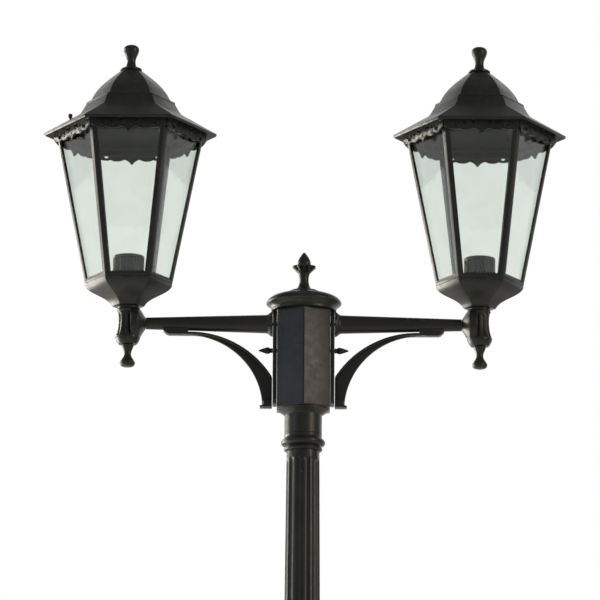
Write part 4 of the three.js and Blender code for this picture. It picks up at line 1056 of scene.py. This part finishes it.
def make_pole():
    """A drawn tapered tube with twelve hollow flutes that die out in round stops at both ends."""
    bottom, height, wide = measure("fluted_pole")
    foot, head, bore = wide - 0.3, 20.7, 0.75
    flutes, per_flute, land = 12, 10, 1
    plain_foot, plain_head, stop, steps = 20, 9, 9, 5
    starts = [plain_foot + stop * i / steps for i in range(steps + 1)]
    ends = [height - plain_head - stop * (1 - i / steps) for i in range(steps + 1)]
    rises = [0, *starts, height / 2, *ends, height]
    outside = [(foot + (head - foot) * rise / height, rise) for rise in rises]
    inside = [(head * bore, height), (foot * bore, 0)]
    pole = turned("fluted_pole_drawn", outside + inside, flutes * per_flute, bottom, hollow=True)
    for radius, rise in outside[2:-2]:
        from_end = min(1.0, (rise - starts[0]) / stop, (ends[-1] - rise) / stop)
        deepest = 0.1 * math.sqrt(1 - (1 - from_end) ** 2)
        levels = (bottom + rise - 0.3, bottom + rise + 0.3)
        for offset in range(land + 1, per_flute - land):
            depth = deepest * math.sin(math.pi * (offset - land) / (per_flute - 2 * land))
            scale_turns(pole, flutes * per_flute, per_flute, (offset,), 1 - depth, levels, radius * 0.95)
    finish_piece(pole, "fluted_pole", 28, DRAWN_ENAMEL)


def make_set_screw():
    """A socket screw that holds the collar, laid along Y."""
    lowest, highest = low("pole_set_screw"), high("pole_set_screw")
    length = highest.y - lowest.y
    screw = turned("pole_set_screw_turned", [
        (1.2, 0), (2.4, 0.5), (2.5, length - 0.6), (2, length), (1.3, length), (1.3, length - 2),
        (0.5, length - 2),
    ], 24, point=True)
    place = Matrix.Translation((0, highest.y * MM, middle("pole_set_screw").z * MM))
    screw.data.transform(place @ Matrix.Rotation(math.pi / 2, 4, "X"))
    finish_piece(screw, "pole_set_screw", 35, DRAWN_ENAMEL)


def make_lower_ring():
    """A rolled ring with a small cove above it, round the foot of the pole."""
    bottom, height, wide = measure("lower_ring")
    ring = turned("lower_ring_cast", [
        (23.2, 0), (wide - 5, 0), (wide - 4, 2), *arc((wide - 6.4, 9.4), 6.4, -65, 65, 12),
        (wide - 5, 16.6), (wide - 4.6, 18), (wide - 5, 20.4),
        *sweep((wide - 5.4, 20.8), (wide - 7.6, 21), (wide - 8, height - 1), (wide - 8.6, height), 4),
        (23.2, height),
    ], ROUND, bottom, hollow=True)
    finish_piece(ring, "lower_ring", 40)


def make_plinth():
    """The pedestal's round drum: a heel roll, a flat band with a sunk face and a seat on top."""
    bottom, height, wide = measure("plinth")
    sunk = wide - 2.8
    plinth = turned("plinth_cast", [
        (wide - 2, 0), *arc((wide - 1.6, 1.6), 1.6, -90, 0, 4), (wide, 7.6),
        *arc((wide - 2.4, 9.6), 2.4, 0, 70, 5), (sunk, 13), (sunk, height - 10), (wide - 1.6, height - 8.4),
        *arc((wide - 1.8, height - 1.8), 1.8, 0, 90, 5), (wide - 6, height), (wide - 6, 0),
    ], LARGE_ROUND, bottom, hollow=True)
    finish_piece(plinth, "plinth", 34)


def make_pedestal():
    """A bell-shaped casting: rolled moulding, bead, hollow sweep, neck ring and plain neck."""
    bottom, height, wide = measure("pedestal")
    neck = 40
    bell = sweep((wide - 12, 15), (neck + 14, 39), (neck + 4, 119), (neck, height - 40), 26)
    inside = [(radius - 6, rise - 4) for radius, rise in reversed(bell[1::3])]
    pedestal = turned("pedestal_cast", [
        (wide - 5, 0), *arc((wide - 4.6, 4.6), 4.6, -80, 80, 12), (wide - 6.6, 9.6), (wide - 6.6, 11),
        *arc((wide - 10.6, 13), 3.2, -30, 75, 6), *bell[1:], (neck, height - 38),
        *arc((neck + 1.8, height - 29), 4.2, -70, 70, 10), (neck, height - 22), (neck, height - 1),
        (neck - 1, height), (31, height), (33.6, height - 44), *inside, (wide - 8, 0),
    ], LARGE_ROUND, bottom, hollow=True)
    finish_piece(pedestal, "pedestal", 34)


def make_base_flange():
    """A round plate with a rounded rim and four bolt holes."""
    bottom, height, wide = measure("base_flange")
    flange = turned("base_flange_cast", [
        (22.1, 0), (wide, 0), (wide, height - 3.6), *arc((wide - 3, height - 3), 3, 0, 90, 6), (22.1, height),
    ], LARGE_ROUND, bottom, hollow=True)
    for i in range(4):
        bolt = middle(f"anchor_bolt_{i + 1}")
        drill(flange, (bolt.x, bolt.y, 0), 5.4, 60, sides=28)
    finish_piece(flange, "base_flange", 35)


def make_anchor_bolts():
    """Stud end with a cut thread, a chamfered hexagon nut and a washer."""
    seat = high("base_flange").z + 0.3
    bottom, top = low("anchor_bolt_1").z - seat, high("anchor_bolt_1").z - seat
    nut_foot, nut_top, pitch = 2, 10, 1.6
    half_turns = range(int((top - nut_top - 1) / pitch) * 2)
    thread = [(5 if i % 2 else 4.3, nut_top + 0.4 + i * pitch / 2) for i in half_turns]
    stud = turned("stud", [(4.8, bottom), (4.8, nut_top), *thread, (4.4, top - 0.6), (3.6, top)], 28, seat)
    washer = turned("washer", [
        (5.1, 0), (9.8, 0), (10, 0.3), (10, 1.7), (9.8, 1.95), (5.1, 1.95),
    ], 40, seat, hollow=True)
    corner = 17 / 2 / COS30
    nut = turned("nut", [(5.05, nut_foot), (corner, nut_foot), (corner, nut_top), (5.05, nut_top)], 6, seat,
                 hollow=True)
    crown = turned("crown", [
        (corner - 1, nut_foot - 0.5), (corner - 0.6, nut_foot), (corner + 0.5, nut_foot + 1),
        (corner + 0.5, nut_top - 1.1), (corner - 0.9, nut_top), (corner - 1.6, nut_top + 0.4),
    ], 48, seat)
    cut_with(nut, crown, "INTERSECT")
    bolt = joined("anchor_bolt_blank", [stud, washer, nut])
    for i in range(4):
        node = f"anchor_bolt_{i + 1}"
        spot = middle(node) * MM
        place = Matrix.Translation((spot.x, spot.y, 0)) @ Matrix.Rotation(0.4 * i, 4, "Z")
        finish_piece(copy_of(bolt, f"{node}_zinc", place), node, 30, ZINC)
    bpy.data.objects.remove(bolt)


# ---- The whole post ---------------------------------------------------------------------------

pick_only()
set_camera()
set_studio()
set_floor()

make_roof()
make_roof_finial()
make_roof_screws()
make_cage()
make_panes()
make_valance()
make_lampholder_cup()
make_lampholder()
make_base_bowl()
make_arm_socket()
make_drop_finial()

make_arms()
make_arm_plates()
make_arm_knobs()
make_braces()

make_head_box()
make_head_cap()
make_cap_finial()
make_wiring()

make_neck()
make_collar()
make_pole()
make_set_screw()
make_lower_ring()
make_plinth()
make_pedestal()
make_base_flange()
make_anchor_bolts()
